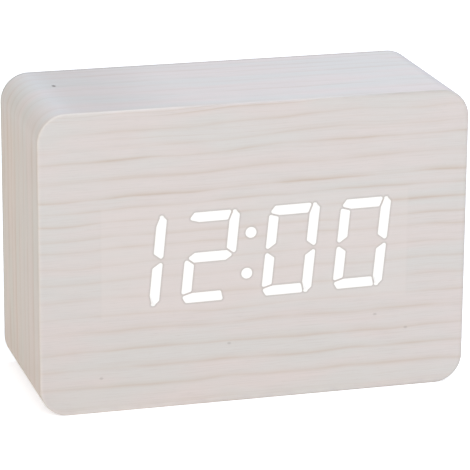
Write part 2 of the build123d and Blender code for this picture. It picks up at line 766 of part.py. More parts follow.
with BuildPart() as crystal_can:
    with BuildSketch(side_plane(CRYSTAL_X)):
        with Locations((DISPLAY_BOARD_REAR + CRYSTAL_RADIUS, CRYSTAL_RISE)):
            Circle(CRYSTAL_RADIUS)
    extrude(amount=CRYSTAL_LENGTH)
    fillet(crystal_can.edges().group_by(Axis.X)[-1], CRYSTAL_RADIUS / 2)
save(crystal_can, "crystal_can")

with BuildPart() as alarm_buzzer:
    with BuildSketch(rear_plane(DISPLAY_BOARD_REAR)):
        with Locations((BUZZER_U, BUZZER_V)):
            Circle(BUZZER_RADIUS)
    extrude(amount=BUZZER_HEIGHT)
    with Locations(*rear_spots(DISPLAY_BOARD_REAR + BUZZER_HEIGHT, [(BUZZER_U, BUZZER_V)])):
        CounterBoreHole(BUZZER_MOUTH, BUZZER_RADIUS - BUZZER_RIM, BUZZER_RECESS, depth=BUZZER_DEPTH)
save(alarm_buzzer, "alarm_buzzer")

# Rear panel with its battery tray, key holes, socket slot and bosses
with BuildPart() as rear_panel:
    with BuildSketch(rear_plane(PANEL_BACK)):
        panel_outline(0)
    extrude(amount=PANEL_THICKNESS)
    fillet(rear_panel.faces().sort_by(Axis.Y)[-1].outer_wire().edges(), PANEL_EDGE)
    with BuildSketch(rear_plane(PANEL_BACK)):
        with Locations((TRAY_U, 0)):
            RectangleRounded(TRAY_OUTER_LENGTH, TRAY_OUTER_HEIGHT, TRAY_CORNER)
        with Locations(*BOSS_SPOTS):
            Circle(BOSS_RADIUS)
    extrude(amount=-(PANEL_BACK - KEY_BOARD_REAR))
    with BuildSketch(rear_plane(KEY_BOARD_REAR)):
        with Locations((TRAY_U, 0)):
            RectangleRounded(TRAY_OUTER_LENGTH, TRAY_OUTER_HEIGHT, TRAY_CORNER)
    extrude(amount=-(KEY_BOARD_REAR - TRAY_BACK))
    # Open box down to the cells' axes, then a round trough for each cell
    with BuildSketch(rear_plane(PANEL_FACE)):
        with Locations((TRAY_U, 0)):
            Rectangle(TRAY_LENGTH, TRAY_HEIGHT)
    extrude(amount=-(PANEL_FACE - CELL_AXIS), mode=Mode.SUBTRACT)
    with BuildSketch(side_plane(TRAY_LOW_X)):
        with Locations(*[(CELL_AXIS, row) for row in CELL_ROWS]):
            Circle(TROUGH_RADIUS)
    extrude(amount=TRAY_LENGTH, mode=Mode.SUBTRACT)
    # Straight pockets for the contact plates, with slots for the two soldered tails
    with BuildSketch(rear_plane(CELL_AXIS)):
        with Locations((TRAY_U, 0)):
            with GridLocations(TRAY_LENGTH - CONTACT_POCKET, 0, 2, 1):
                Rectangle(CONTACT_POCKET, TRAY_HEIGHT)
    extrude(amount=-TROUGH_RADIUS, mode=Mode.SUBTRACT)
    with BuildSketch(rear_plane(TRAY_BED)):
        end = (TRAY_LENGTH - CONTACT_POCKET) / 2
        with Locations((TRAY_U + end, CELL_ROWS[0]), (TRAY_U - end, CELL_ROWS[-1])):
            Rectangle(CONTACT_POCKET, TAIL_WIDTH + 2 * CONTACT_FIT)
    extrude(amount=-(TRAY_FLOOR + CUT_OVERRUN), mode=Mode.SUBTRACT)
    # Seat of the door, the holes for its hinge pins and the thumb scoop over its upper edge
    with BuildSketch(rear_plane(PANEL_FACE)):
        with Locations((TRAY_U, 0)):
            Rectangle(DOOR_LENGTH + 2 * DOOR_GAP, DOOR_HEIGHT + 2 * DOOR_GAP)
    extrude(amount=-(DOOR_THICKNESS + DOOR_SEAT_GAP), mode=Mode.SUBTRACT)
    pin_span = DOOR_LENGTH + 2 * (PIN_LENGTH + DOOR_GAP)
    with BuildSketch(side_plane(-TRAY_U - pin_span / 2)):
        with Locations((HINGE_Y, HINGE_V)):
            Circle(PIN_RADIUS + PIN_FIT)
    extrude(amount=pin_span, mode=Mode.SUBTRACT)
    with BuildSketch(rear_plane(PANEL_FACE)):
        with Locations((TRAY_U, DOOR_TOP + SCOOP_RISE - SCOOP_RADIUS)):
            Circle(SCOOP_RADIUS)
    extrude(amount=-SCOOP_DEPTH, taper=SCOOP_TAPER, mode=Mode.SUBTRACT)
    # Keys, power socket and screws
    with Locations(*rear_spots(PANEL_FACE, KEY_SPOTS)):
        CounterSinkHole(KEY_RADIUS + KEY_FIT, KEY_RADIUS + KEY_FIT + KEY_RIM, depth=PANEL_THICKNESS)
    with BuildSketch(rear_plane(PANEL_FACE)):
        with Locations((KEY_U, USB_V)):
            RectangleRounded(USB_WIDTH + 2 * USB_FIT, USB_HEIGHT + 2 * USB_FIT, USB_CUT)
    extrude(amount=-PANEL_THICKNESS, mode=Mode.SUBTRACT)
    with Locations(*rear_spots(PANEL_FACE, PANEL_SCREW_SPOTS)):
        CounterBoreHole(
            PANEL_SHANK_RADIUS + SCREW_HOLE_FIT,
            PANEL_HEAD_RADIUS + HEAD_FIT,
            COUNTERBORE_DEPTH,
            depth=PANEL_THICKNESS,
        )
    with Locations(*front_spots(KEY_BOARD_REAR, BOSS_SPOTS)):
        Hole(BOARD_SHANK_RADIUS + SCREW_FIT, depth=BOARD_SHANK_LENGTH - BOARD_THICKNESS + SCREW_BLIND)
save(rear_panel, "rear_panel")

make_screws(
    "panel_screws",
    rear_spots(PANEL_FACE - COUNTERBORE_DEPTH, PANEL_SCREW_SPOTS),
    PANEL_HEAD_RADIUS,
    PANEL_HEAD_HEIGHT,
    PANEL_SHANK_RADIUS,
    PANEL_SHANK_LENGTH,
)

# Battery door: round lower edge on the hinge axis, pins, inner ribs and grip grooves
with BuildPart() as battery_door:
    with BuildSketch(side_plane(-TRAY_U - DOOR_LENGTH / 2)):
        with Locations((HINGE_Y, HINGE_V)):
            Circle(DOOR_THICKNESS / 2)
        with Locations((HINGE_Y, (HINGE_V + DOOR_TOP) / 2)):
            Rectangle(DOOR_THICKNESS, DOOR_TOP - HINGE_V)
    extrude(amount=DOOR_LENGTH)
    upper_edge = battery_door.edges().filter_by(Axis.X).group_by(Axis.Z)[-1].sort_by(Axis.Y)[-1]
    fillet(upper_edge, DOOR_EDGE)
    with BuildSketch(side_plane(-TRAY_U - DOOR_LENGTH / 2 - PIN_LENGTH)):
        with Locations((HINGE_Y, HINGE_V)):
            Circle(PIN_RADIUS)
    extrude(amount=DOOR_LENGTH + 2 * PIN_LENGTH)
    with BuildSketch(rear_plane(PANEL_BACK)):
        with Locations((TRAY_U, -CELL_PITCH / 2), (TRAY_U, CELL_PITCH / 2)):
            Rectangle(TRAY_LENGTH - 2 * DOOR_RIB_INSET, DOOR_RIB_WIDTH)
    extrude(amount=-DOOR_RIB_DEPTH)
    grip_span = (GRIP_COUNT - 1) * GRIP_PITCH
    with BuildSketch(rear_plane(PANEL_FACE)):
        with Locations((TRAY_U, DOOR_TOP - GRIP_INSET - grip_span / 2)):
            with GridLocations(0, GRIP_PITCH, 1, GRIP_COUNT):
                SlotOverall(GRIP_LENGTH, GRIP_WIDTH)
    extrude(amount=-GRIP_DEPTH, mode=Mode.SUBTRACT)
save(battery_door, "battery_door")

# Cells with alternating ends, their contact plates and springs
make_battery("battery_bottom", CELL_ROWS[0], nub_low=True)
make_battery("battery_middle", CELL_ROWS[1], nub_low=False)
make_battery("battery_top", CELL_ROWS[2], nub_low=True)

with BuildPart() as contact_plates:
    for end_x, single, pair in (
        (TRAY_LOW_X, CELL_ROWS[0], CELL_PITCH / 2),
        (TRAY_HIGH_X - CONTACT_THICKNESS, CELL_ROWS[-1], -CELL_PITCH / 2),
    ):
        tail_length = CELL_AXIS - (TRAY_BACK - TAIL_REACH)
        with BuildSketch(side_plane(end_x)):
            with Locations((CELL_AXIS, single)):
                RectangleRounded(CONTACT_WIDTH, CONTACT_WIDTH, CONTACT_CORNER)
            with Locations((CELL_AXIS - tail_length / 2, single)):
                Rectangle(tail_length, TAIL_WIDTH)
            with Locations((CELL_AXIS, pair)):
                RectangleRounded(CONTACT_WIDTH, CELL_PITCH + CONTACT_WIDTH, CONTACT_CORNER)
        extrude(amount=CONTACT_THICKNESS)
save(contact_plates, "contact_plates")

springs = [
    make_spring(TRAY_HIGH_X - CONTACT_THICKNESS, -1, CELL_ROWS[0]),
    make_spring(TRAY_LOW_X + CONTACT_THICKNESS, 1, CELL_ROWS[1]),
    make_spring(TRAY_HIGH_X - CONTACT_THICKNESS, -1, CELL_ROWS[2]),
]
with BuildPart() as contact_springs:
    for spring in springs:
        add(spring.part)
save(contact_springs, "contact_springs")
print("least gap between spring turns", round(least_spring_gap(), 3))

make_lead("lead_positive", TRAY_LOW_X, CELL_ROWS[0])
make_lead("lead_negative", TRAY_HIGH_X - CONTACT_THICKNESS, CELL_ROWS[-1])

# Key board with its switches, plungers, keys and screws
with BuildPart() as key_board:
    with BuildSketch(rear_plane(KEY_BOARD_FRONT)):
        with Locations((KEY_U, 0)):
            Rectangle(KEY_BOARD_WIDTH, KEY_BOARD_HEIGHT)
        with Locations(*BOSS_SPOTS):
            Circle(BOARD_SHANK_RADIUS + SCREW_HOLE_FIT, mode=Mode.SUBTRACT)
    extrude(amount=BOARD_THICKNESS)
save(key_board, "key_board")

make_screws(
    "key_board_screws",
    front_spots(KEY_BOARD_FRONT, BOSS_SPOTS),
    BOARD_HEAD_RADIUS,
    BOARD_HEAD_HEIGHT,
    BOARD_SHANK_RADIUS,
    BOARD_SHANK_LENGTH,
)

with BuildPart() as switch_bodies:
    with BuildSketch(rear_plane(KEY_BOARD_REAR)):
        with Locations(*KEY_SPOTS):
            Rectangle(SWITCH_SIZE, SWITCH_SIZE)
    extrude(amount=SWITCH_BODY)
    with Locations(*rear_spots(SWITCH_TOP, KEY_SPOTS)):
        Hole(PLUNGER_RADIUS + PLUNGER_FIT, depth=PLUNGER_ROOT + KEY_TRAVEL + PLUNGER_SPARE)
save(switch_bodies, "switch_bodies")

for name, place in zip(KEY_NAMES, KEY_SPOTS):
    make_plunger(f"plunger_{name}", place)
    make_key(f"key_{name}", place)

# Power socket: a folded steel shell round a moulded tongue
usb_half_w = USB_WIDTH / 2
usb_half_h = USB_HEIGHT / 2
usb_outline = [
    (KEY_U - usb_half_w, USB_V + usb_half_h),
    (KEY_U + usb_half_w, USB_V + usb_half_h),
    (KEY_U + usb_half_w, USB_V - usb_half_h + USB_CUT),
    (KEY_U + usb_half_w - USB_CUT, USB_V - usb_half_h),
    (KEY_U - usb_half_w + USB_CUT, USB_V - usb_half_h),
    (KEY_U - usb_half_w, USB_V - usb_half_h + USB_CUT),
]
with BuildPart() as usb_shell:
    with BuildSketch(rear_plane(KEY_BOARD_REAR)):
        shell_face = Polygon(*usb_outline, align=None)
        offset(shell_face, -USB_WALL, kind=Kind.INTERSECTION, mode=Mode.SUBTRACT)
    extrude(amount=USB_MOUTH - KEY_BOARD_REAR)
save(usb_shell, "usb_shell")

with BuildPart() as usb_tongue:
    with BuildSketch(rear_plane(KEY_BOARD_REAR)):
        base_face = Polygon(*usb_outline, align=None, mode=Mode.PRIVATE)
        offset(base_face, -USB_WALL, kind=Kind.INTERSECTION, mode=Mode.ADD)
    extrude(amount=USB_BASE)
    with BuildSketch(rear_plane(KEY_BOARD_REAR)):
        with Locations((KEY_U, USB_V)):
            Rectangle(TONGUE_WIDTH, TONGUE_THICKNESS)
    extrude(amount=USB_MOUTH - TONGUE_SETBACK - KEY_BOARD_REAR)
save(usb_tongue, "usb_tongue")

# Ribbon cable in an easy S between the sockets of the two boards
with BuildPart() as cable_sockets:
    with BuildSketch(front_plane(KEY_BOARD_FRONT)):
        with Locations((-KEY_U, RIBBON_RISE)):
            Rectangle(SOCKET_WIDTH, SOCKET_HEIGHT)
    extrude(amount=SOCKET_DEPTH)
    with BuildSketch(rear_plane(DISPLAY_BOARD_REAR)):
        with Locations((KEY_U, -RIBBON_RISE)):
            Rectangle(SOCKET_WIDTH, SOCKET_HEIGHT)
    extrude(amount=SOCKET_DEPTH)
    with BuildSketch(front_plane(KEY_BOARD_FRONT - SOCKET_DEPTH)):
        with Locations((-KEY_U, RIBBON_RISE)):
            Rectangle(RIBBON_WIDTH + 2 * RIBBON_FIT, RIBBON_THICKNESS + 2 * RIBBON_FIT)
    extrude(amount=-RIBBON_SEAT, mode=Mode.SUBTRACT)
    with BuildSketch(rear_plane(DISPLAY_BOARD_REAR + SOCKET_DEPTH)):
        with Locations((KEY_U, -RIBBON_RISE)):
            Rectangle(RIBBON_WIDTH + 2 * RIBBON_FIT, RIBBON_THICKNESS + 2 * RIBBON_FIT)
    extrude(amount=-RIBBON_SEAT, mode=Mode.SUBTRACT)
save(cable_sockets, "cable_sockets")

ribbon_high = CASE_HEIGHT / 2 + RIBBON_RISE
ribbon_low = CASE_HEIGHT / 2 - RIBBON_RISE
ribbon_start = KEY_BOARD_FRONT - SOCKET_DEPTH + RIBBON_SEAT
ribbon_end = DISPLAY_BOARD_REAR + SOCKET_DEPTH - RIBBON_SEAT
ribbon_route = [
    Vector(-KEY_U, ribbon_start, ribbon_high),
    Vector(-KEY_U, ribbon_start - RIBBON_SEAT - RIBBON_RUN, ribbon_high),
    Vector(-KEY_U, ribbon_end + RIBBON_SEAT + RIBBON_RUN, ribbon_low),
    Vector(-KEY_U, ribbon_end, ribbon_low),
]
ribbon_radii = bend_radius(ribbon_route)
print("ribbon_cable bend radii", [round(radius, 2) for radius in ribbon_radii])
with BuildPart() as ribbon_cable:
    with BuildLine() as ribbon_path:
        FilletPolyline(*ribbon_route, radius=min(ribbon_radii))
    with BuildSketch(Plane(origin=ribbon_route[0], x_dir=(1, 0, 0), z_dir=ribbon_path.line % 0)):
        Rectangle(RIBBON_WIDTH, RIBBON_THICKNESS)
    sweep(path=ribbon_path.line)
save(ribbon_cable, "ribbon_cable")
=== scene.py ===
"""Looks of a brick-shaped wooden LED desk clock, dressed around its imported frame.

The wood veneer, the lit segments and the coiled contact springs are new surfaces.
Every other node keeps its shape and gets a procedural finish.  Sizes in the classes
are in millimetres, and meshes are written in metres.
"""

import json
import logging
import math
from dataclasses import dataclass, field
from enum import Enum
from typing import ClassVar

import bpy
import numpy as np
from mathutils import Matrix, Vector


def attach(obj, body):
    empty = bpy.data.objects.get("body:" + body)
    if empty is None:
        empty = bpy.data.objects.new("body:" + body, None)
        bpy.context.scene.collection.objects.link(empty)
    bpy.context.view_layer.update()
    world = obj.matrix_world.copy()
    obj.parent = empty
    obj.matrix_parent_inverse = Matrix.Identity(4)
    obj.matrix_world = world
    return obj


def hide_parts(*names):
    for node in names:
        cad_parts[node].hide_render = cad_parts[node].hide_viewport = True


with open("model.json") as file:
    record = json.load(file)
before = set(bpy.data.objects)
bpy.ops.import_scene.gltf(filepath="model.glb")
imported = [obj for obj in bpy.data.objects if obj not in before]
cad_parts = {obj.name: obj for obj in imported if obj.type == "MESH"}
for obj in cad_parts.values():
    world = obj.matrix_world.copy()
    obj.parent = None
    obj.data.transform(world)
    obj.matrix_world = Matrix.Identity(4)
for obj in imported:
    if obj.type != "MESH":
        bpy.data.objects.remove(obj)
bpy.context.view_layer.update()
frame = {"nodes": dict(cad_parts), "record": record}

LOG = logging.getLogger("desk_clock")
MM = 0.001
CASE_BODY = "case"
SHARP_ANGLE = math.radians(25)

Colour = tuple[float, float, float, float]
Span = tuple[float, float]
Ramp = tuple[float, ...]
Rates = tuple[float, float, float]

WHITE: Colour = (1.0, 1.0, 1.0, 1.0)
EVEN_BRUSHING: Rates = (3.0, 3.0, 3.0)
# Between these two lies most of a noise, so a step over them uses all its range
MIDDLE: Span = (0.3, 0.7)


def paint(red: int, green: int, blue: int) -> Colour:
    """Colour as a screen shows it, turned into the linear value that a shader takes.

    Args:
        red: Red from 0 to 255.
        green: Green from 0 to 255.
        blue: Blue from 0 to 255.

    Returns:
        Linear red, green, blue and a full alpha.
    """
    shown = np.array([red, green, blue]) / 255
    linear = np.where(shown <= 0.04045, shown / 12.92, ((shown + 0.055) / 1.055) ** 2.4)
    return (*(float(part) for part in linear), 1.0)


def scaled(colour: Colour, factor: float, lift: float = 0.0) -> Colour:
    """Linear colour times a factor plus a lift, with no part above full."""
    return (*(min(1.0, part * factor + lift) for part in colour[:3]), 1.0)


NICKEL = paint(208, 204, 196)


class Place(Enum):
    """Where a pattern takes its place from."""

    FACE = "object x and z"
    BAND = "grain"
    SOLID = "object"


class Blend(Enum):
    """How one colour goes over another."""

    COVER = "MIX"
    DARKEN = "MULTIPLY"
    BRIGHTEN = "SCREEN"


class Signal:
    """Output of a node; arithmetic on it adds math nodes to the same graph."""

    def __init__(self, graph: "Graph", socket: bpy.types.NodeSocket) -> None:
        """Keeps the output together with its graph."""
        self.graph = graph
        self.socket = socket

    def __add__(self, other: "Value") -> "Signal":
        """Sum of two values."""
        return self.graph.math("ADD", self, other)

    def __sub__(self, other: "Value") -> "Signal":
        """This value less another."""
        return self.graph.math("SUBTRACT", self, other)

    def __rsub__(self, other: float) -> "Signal":
        """A number less this value."""
        return self.graph.math("SUBTRACT", other, self)

    def __mul__(self, other: "Value") -> "Signal":
        """Product of two values."""
        return self.graph.math("MULTIPLY", self, other)

    def __truediv__(self, other: float) -> "Signal":
        """This value over a number."""
        return self.graph.math("DIVIDE", self, other)

    def __pow__(self, power: float) -> "Signal":
        """This value to a power."""
        return self.graph.math("POWER", self, power)

    def __abs__(self) -> "Signal":
        """This value without its sign."""
        return self.graph.math("ABSOLUTE", self)

    def step(self, low: float, high: float, start: float = 0.0, end: float = 1.0) -> "Signal":
        """Smooth step from start to end while this value goes from low to high."""
        inputs = dict(enumerate((self, low, high, start, end)))
        return self.graph.node("MapRange", inputs, interpolation_type="SMOOTHSTEP")

    def noise(self, detail: float) -> "Signal":
        """Noise between 0 and 1 at this vector, with so many octaves of detail."""
        return self.graph.node("TexNoise", {"Vector": self, "Scale": 1.0, "Detail": detail})

    def luck(self) -> "Signal":
        """A fixed random number between 0 and 1 for each whole value."""
        return self.graph.node("TexWhiteNoise", {"W": self}, "Value", noise_dimensions="1D")


Value = float | Signal
Input = float | Signal | Colour


class Graph:
    """Nodes of a material or of the world, with short calls for those that the finishes share."""

    def __init__(self, owner: bpy.types.ID, shader: str = "Principled BSDF") -> None:
        """Opens the node tree.

        Args:
            owner: Material or world.
            shader: Name of its shader node.
        """
        owner.use_nodes = True
        self.owner = owner
        self.nodes = owner.node_tree.nodes
        self.links = owner.node_tree.links
        self.shader = self.nodes[shader]

    def feed(self, value: Input, socket: bpy.types.NodeSocket) -> None:
        """Links a socket, or sets a constant on it.

        Args:
            value: Number, colour or signal.
            socket: Input that takes it.
        """
        if isinstance(value, Signal):
            self.links.new(value.socket, socket)
        else:
            socket.default_value = value

    def set(self, name: str, value: Input) -> None:
        """Feeds an input of the shader."""
        self.feed(value, self.shader.inputs[name])

    def node(
        self, kind: str, inputs: dict[int | str, Input], output: int | str = 0, **choices: str
    ) -> Signal:
        """Adds a node.

        Args:
            kind: Type of the shader node.
            inputs: What each input takes, by its number or name.
            output: Number or name of the output that is wanted.
            choices: Settings of the node.

        Returns:
            The output.
        """
        node = self.nodes.new(f"ShaderNode{kind}")
        for name, choice in choices.items():
            setattr(node, name, choice)
        for key, value in inputs.items():
            self.feed(value, node.inputs[key])
        return Signal(self, node.outputs[output])

    def math(self, operation: str, *values: Value) -> Signal:
        """Adds a math node on one or two values."""
        return self.node("Math", dict(enumerate(values)), operation=operation)

    def vector(self, x: Value, y: Value, z: Value = 0.0) -> Signal:
        """Joins three values into a vector."""
        return self.node("CombineXYZ", dict(enumerate((x, y, z))))

    def attribute(self, name: str, output: str = "Fac") -> Signal:
        """Reads an attribute of the mesh."""
        return self.node("Attribute", {}, output, attribute_name=name)

    def axes(self, place: Place) -> list[Signal]:
        """Coordinates of the surface in millimetres.

        Args:
            place: Where the pattern takes its place from.

        Returns:
            Three values; on a veneer the first runs along the grain, the second across it.
        """
        if place is Place.BAND:
            source = self.attribute(place.value, "Vector")
        else:
            source = self.node("TexCoord", {}, "Object")
        millimetres = self.node("VectorMath", {0: source, "Scale": 1 / MM}, operation="SCALE")
        parts = self.node("SeparateXYZ", {0: millimetres}).socket.node.outputs
        x, y, z = (Signal(self, socket) for socket in parts)
        return [x, z, y] if place is Place.FACE else [x, y, z]

    def grain(self, rates: Rates, detail: float, shift: float = 0.0) -> Signal:
        """Noise through the solid, with its cycles per millimetre along X, Y and Z."""
        x, y, z = (axis * rate for axis, rate in zip(self.axes(Place.SOLID), rates))
        return self.vector(x, y, z + shift).noise(detail)

    def mix(self, share: Value, first: Input, second: Input, blend: Blend = Blend.COVER) -> Signal:
        """Lays a share of the second colour over the first."""
        # A mix node has one set of sockets for each type of data: 6, 7 and 2 are those of colours
        inputs = {0: share, 6: first, 7: second}
        return self.node("Mix", inputs, 2, data_type="RGBA", blend_type=blend.value)

    def bump(self, height: Value, depth: float, strength: float = 1.0) -> None:
        """Gives the surface a fine relief, as deep in millimetres as the depth says."""
        inputs = {"Strength": strength, "Distance": depth * MM, "Height": height}
        self.set("Normal", self.node("Bump", inputs))

    def seen(self) -> Signal:
        """One for rays from the camera, off gloss or through glass, and nothing for the rest."""
        rays = self.node("LightPath", {}).socket.node.outputs
        kinds = ("Is Camera Ray", "Is Glossy Ray", "Is Transmission Ray")
        camera, gloss, glass = (Signal(self, rays[kind]) for kind in kinds)
        return self.math("MAXIMUM", self.math("MAXIMUM", camera, gloss), glass)


@dataclass(frozen=True)
class Finish:
    """A finish, named as its material is."""

    name: str

    def make(self) -> bpy.types.Material:
        """Builds the material.

        Returns:
            The finished material.
        """
        graph = Graph(bpy.data.materials.new(self.name))
        self.coat(graph)
        return graph.owner

    def coat(self, graph: Graph) -> None:
        """Fills the graph; each finish does it in its own way."""
        raise NotImplementedError


@dataclass(frozen=True)
class Pattern:
    """Noise over a sheet of veneer, with its cycles per millimetre along and across the grain."""

    rate: Span
    detail: float
    shift: float

    def over(self, along: Signal, across: Signal, seed: float) -> Signal:
        """Noise between 0 and 1 at a place of the sheet that has this seed."""
        run, rise = along * self.rate[0], across * self.rate[1]
        return along.graph.vector(run, rise, seed + self.shift).noise(self.detail)


@dataclass(frozen=True)
class Veneer(Finish):
    """Whitewashed softwood veneer: pale patches, thin tan ring lines, fine fibres, a few pores.

    A ramp gives the low and high end of a smooth step and, where they aren't nothing and one,
    its results there.  Shifts keep the patterns of a sheet apart.
    """

    name: str = "whitewashed_veneer"
    place: Place = Place.FACE
    seed: float = 3.0
    pale: Colour = paint(220, 216, 214)
    rose: Colour = paint(225, 215, 213)
    ring: Colour = paint(204, 186, 175)
    fibre: Colour = paint(209, 201, 198)
    pore: Colour = paint(120, 106, 100)
    pores: tuple[Span, ...] = ()
    pore_size: float = 0.3
    pore_core: float = 0.3
    pore_share: float = 0.5
    pore_squeeze: Span = (0.65, 1.0)
    spacing: float = 3.8
    fine_spacing: float = 1.45
    fine_shift: float = 60.0
    drift: float = 3.0
    drifts: Pattern = Pattern((0.010, 0.022), 1.0, 0.0)
    ripple: float = 1.7
    ripples: Pattern = Pattern((0.055, 0.10), 1.0, 9.0)
    uneven: float = 2.2
    uneven_rate: float = 0.35
    uneven_shift: float = 0.3
    fine_uneven_shift: float = 40.7
    soft_side: float = 6.0
    sharp_side: float = 14.0
    ring_share: float = 0.66
    fine_share: float = 0.13
    luck_ramp: Ramp = (0.0, 1.0, 0.45, 1.0)
    wanders: Pattern = Pattern((0.045, 3.7), 2.0, 0.0)
    wander_ramp: Ramp = (0.3, 0.65, 0.2, 1.0)
    patches: Pattern = Pattern((0.026, 0.12), 2.0, 3.0)
    patch_ramp: Ramp = (0.36, 0.62)
    fibres: Pattern = Pattern((0.11, 5.0), 3.0, 5.0)
    fibre_ramp: Ramp = (0.42, 0.85, 0.0, 0.6)
    flecks: Pattern = Pattern((0.35, 3.4), 2.0, 6.0)
    fleck_ramp: Ramp = (0.58, 0.8, 0.0, 0.45)
    rough_ramp: Ramp = (0.2, 0.8, 0.5, 0.62)
    gloss: float = 0.3
    relief: float = 0.03
    relief_strength: float = 0.6
    relief_share: float = 0.6

    def spread(self, level: Signal, spacing: float, shift: float) -> Signal:
        """Count that passes a whole number at each of some uneven rings, at a mean spacing."""
        spot = level.graph.vector(level * (self.uneven_rate / spacing), self.seed + shift)
        return level / spacing + spot.noise(detail=1.0) * self.uneven

    def count(self, level: Signal) -> Signal:
        """Counts the main rings."""
        return self.spread(level, self.spacing, self.uneven_shift)

    def rings(self, along: Signal, count: Signal, shift: float) -> Signal:
        """Ring lines: each is sharp below its ring and softer above it, and wanders in strength.

        Args:
            along: Place along the grain.
            count: Ring count.
            shift: Makes this set of lines differ from others.

        Returns:
            Strength of the lines.
        """
        graph = along.graph
        index = graph.math("FLOOR", count + 0.5)
        rise = graph.math("FRACT", count)
        line = graph.math("MAXIMUM", (1.0 - rise) ** self.soft_side, rise**self.sharp_side)
        chance = (index + shift).luck().step(*self.luck_ramp)
        wander = self.wanders.over(along, index, shift).step(*self.wander_ramp)
        return line * chance * wander * self.emphasis(along)

    def emphasis(self, along: Signal) -> Value:
        """Factor on the rings; a plain sheet shows all of them alike."""
        return 1.0

    def pricks(self, along: Signal, across: Signal) -> Value:
        """Small dark pores, longer one way than the other.

        Args:
            along: Place along the grain.
            across: Place across the grain.

        Returns:
            One inside a pore and nothing elsewhere.
        """
        mask: Value = 0.0
        for spot in self.pores:
            run, rise = (
                ((axis - middle) * squeeze) ** 2.0
                for axis, middle, squeeze in zip((along, across), spot, self.pore_squeeze)
            )
            reach = along.graph.math("SQRT", run + rise)
            dark = reach.step(self.pore_size, self.pore_core * self.pore_size)
            mask = along.graph.math("MAXIMUM", mask, dark)
        return mask

    def dress(self, graph: Graph, colour: Signal) -> Signal:
        """Adds what one sheet has of its own; a plain sheet has nothing."""
        return colour

    def coat(self, graph: Graph) -> None:
        """Lays patches, rings, fibres, flecks and pores over each other, with a fine relief.

        Rings and patches lie at a level across the grain that a slow drift and a ripple bend.

        Args:
            graph: Graph to fill.
        """
        along, across = graph.axes(self.place)[:2]
        drift = self.drifts.over(along, across, self.seed)
        ripple = self.ripples.over(along, across, self.seed)
        level = across + (drift - 0.5) * self.drift + (ripple - 0.5) * self.ripple
        coarse = self.rings(along, self.count(level), self.seed)
        close = self.spread(level, self.fine_spacing, self.fine_uneven_shift)
        fine = self.rings(along, close, self.seed + self.fine_shift)
        rings = coarse * self.ring_share + fine * self.fine_share
        patches = self.patches.over(along, level, self.seed)
        fibres = self.fibres.over(along, across, self.seed)
        flecks = self.flecks.over(along, across, self.seed)
        colour = graph.mix(patches.step(*self.patch_ramp), self.pale, self.rose)
        colour = graph.mix(rings, colour, self.ring)
        colour = graph.mix(fibres.step(*self.fibre_ramp), colour, self.fibre)
        colour = graph.mix(flecks.step(*self.fleck_ramp), colour, self.fibre)
        colour = graph.mix(self.pricks(along, across) * self.pore_share, colour, self.pore)
        graph.set("Base Color", self.dress(graph, colour))
        graph.set("Roughness", fibres.step(*self.rough_ramp))
        graph.set("Specular IOR Level", self.gloss)
        graph.bump((fibres - rings) * self.relief_share, self.relief, self.relief_strength)


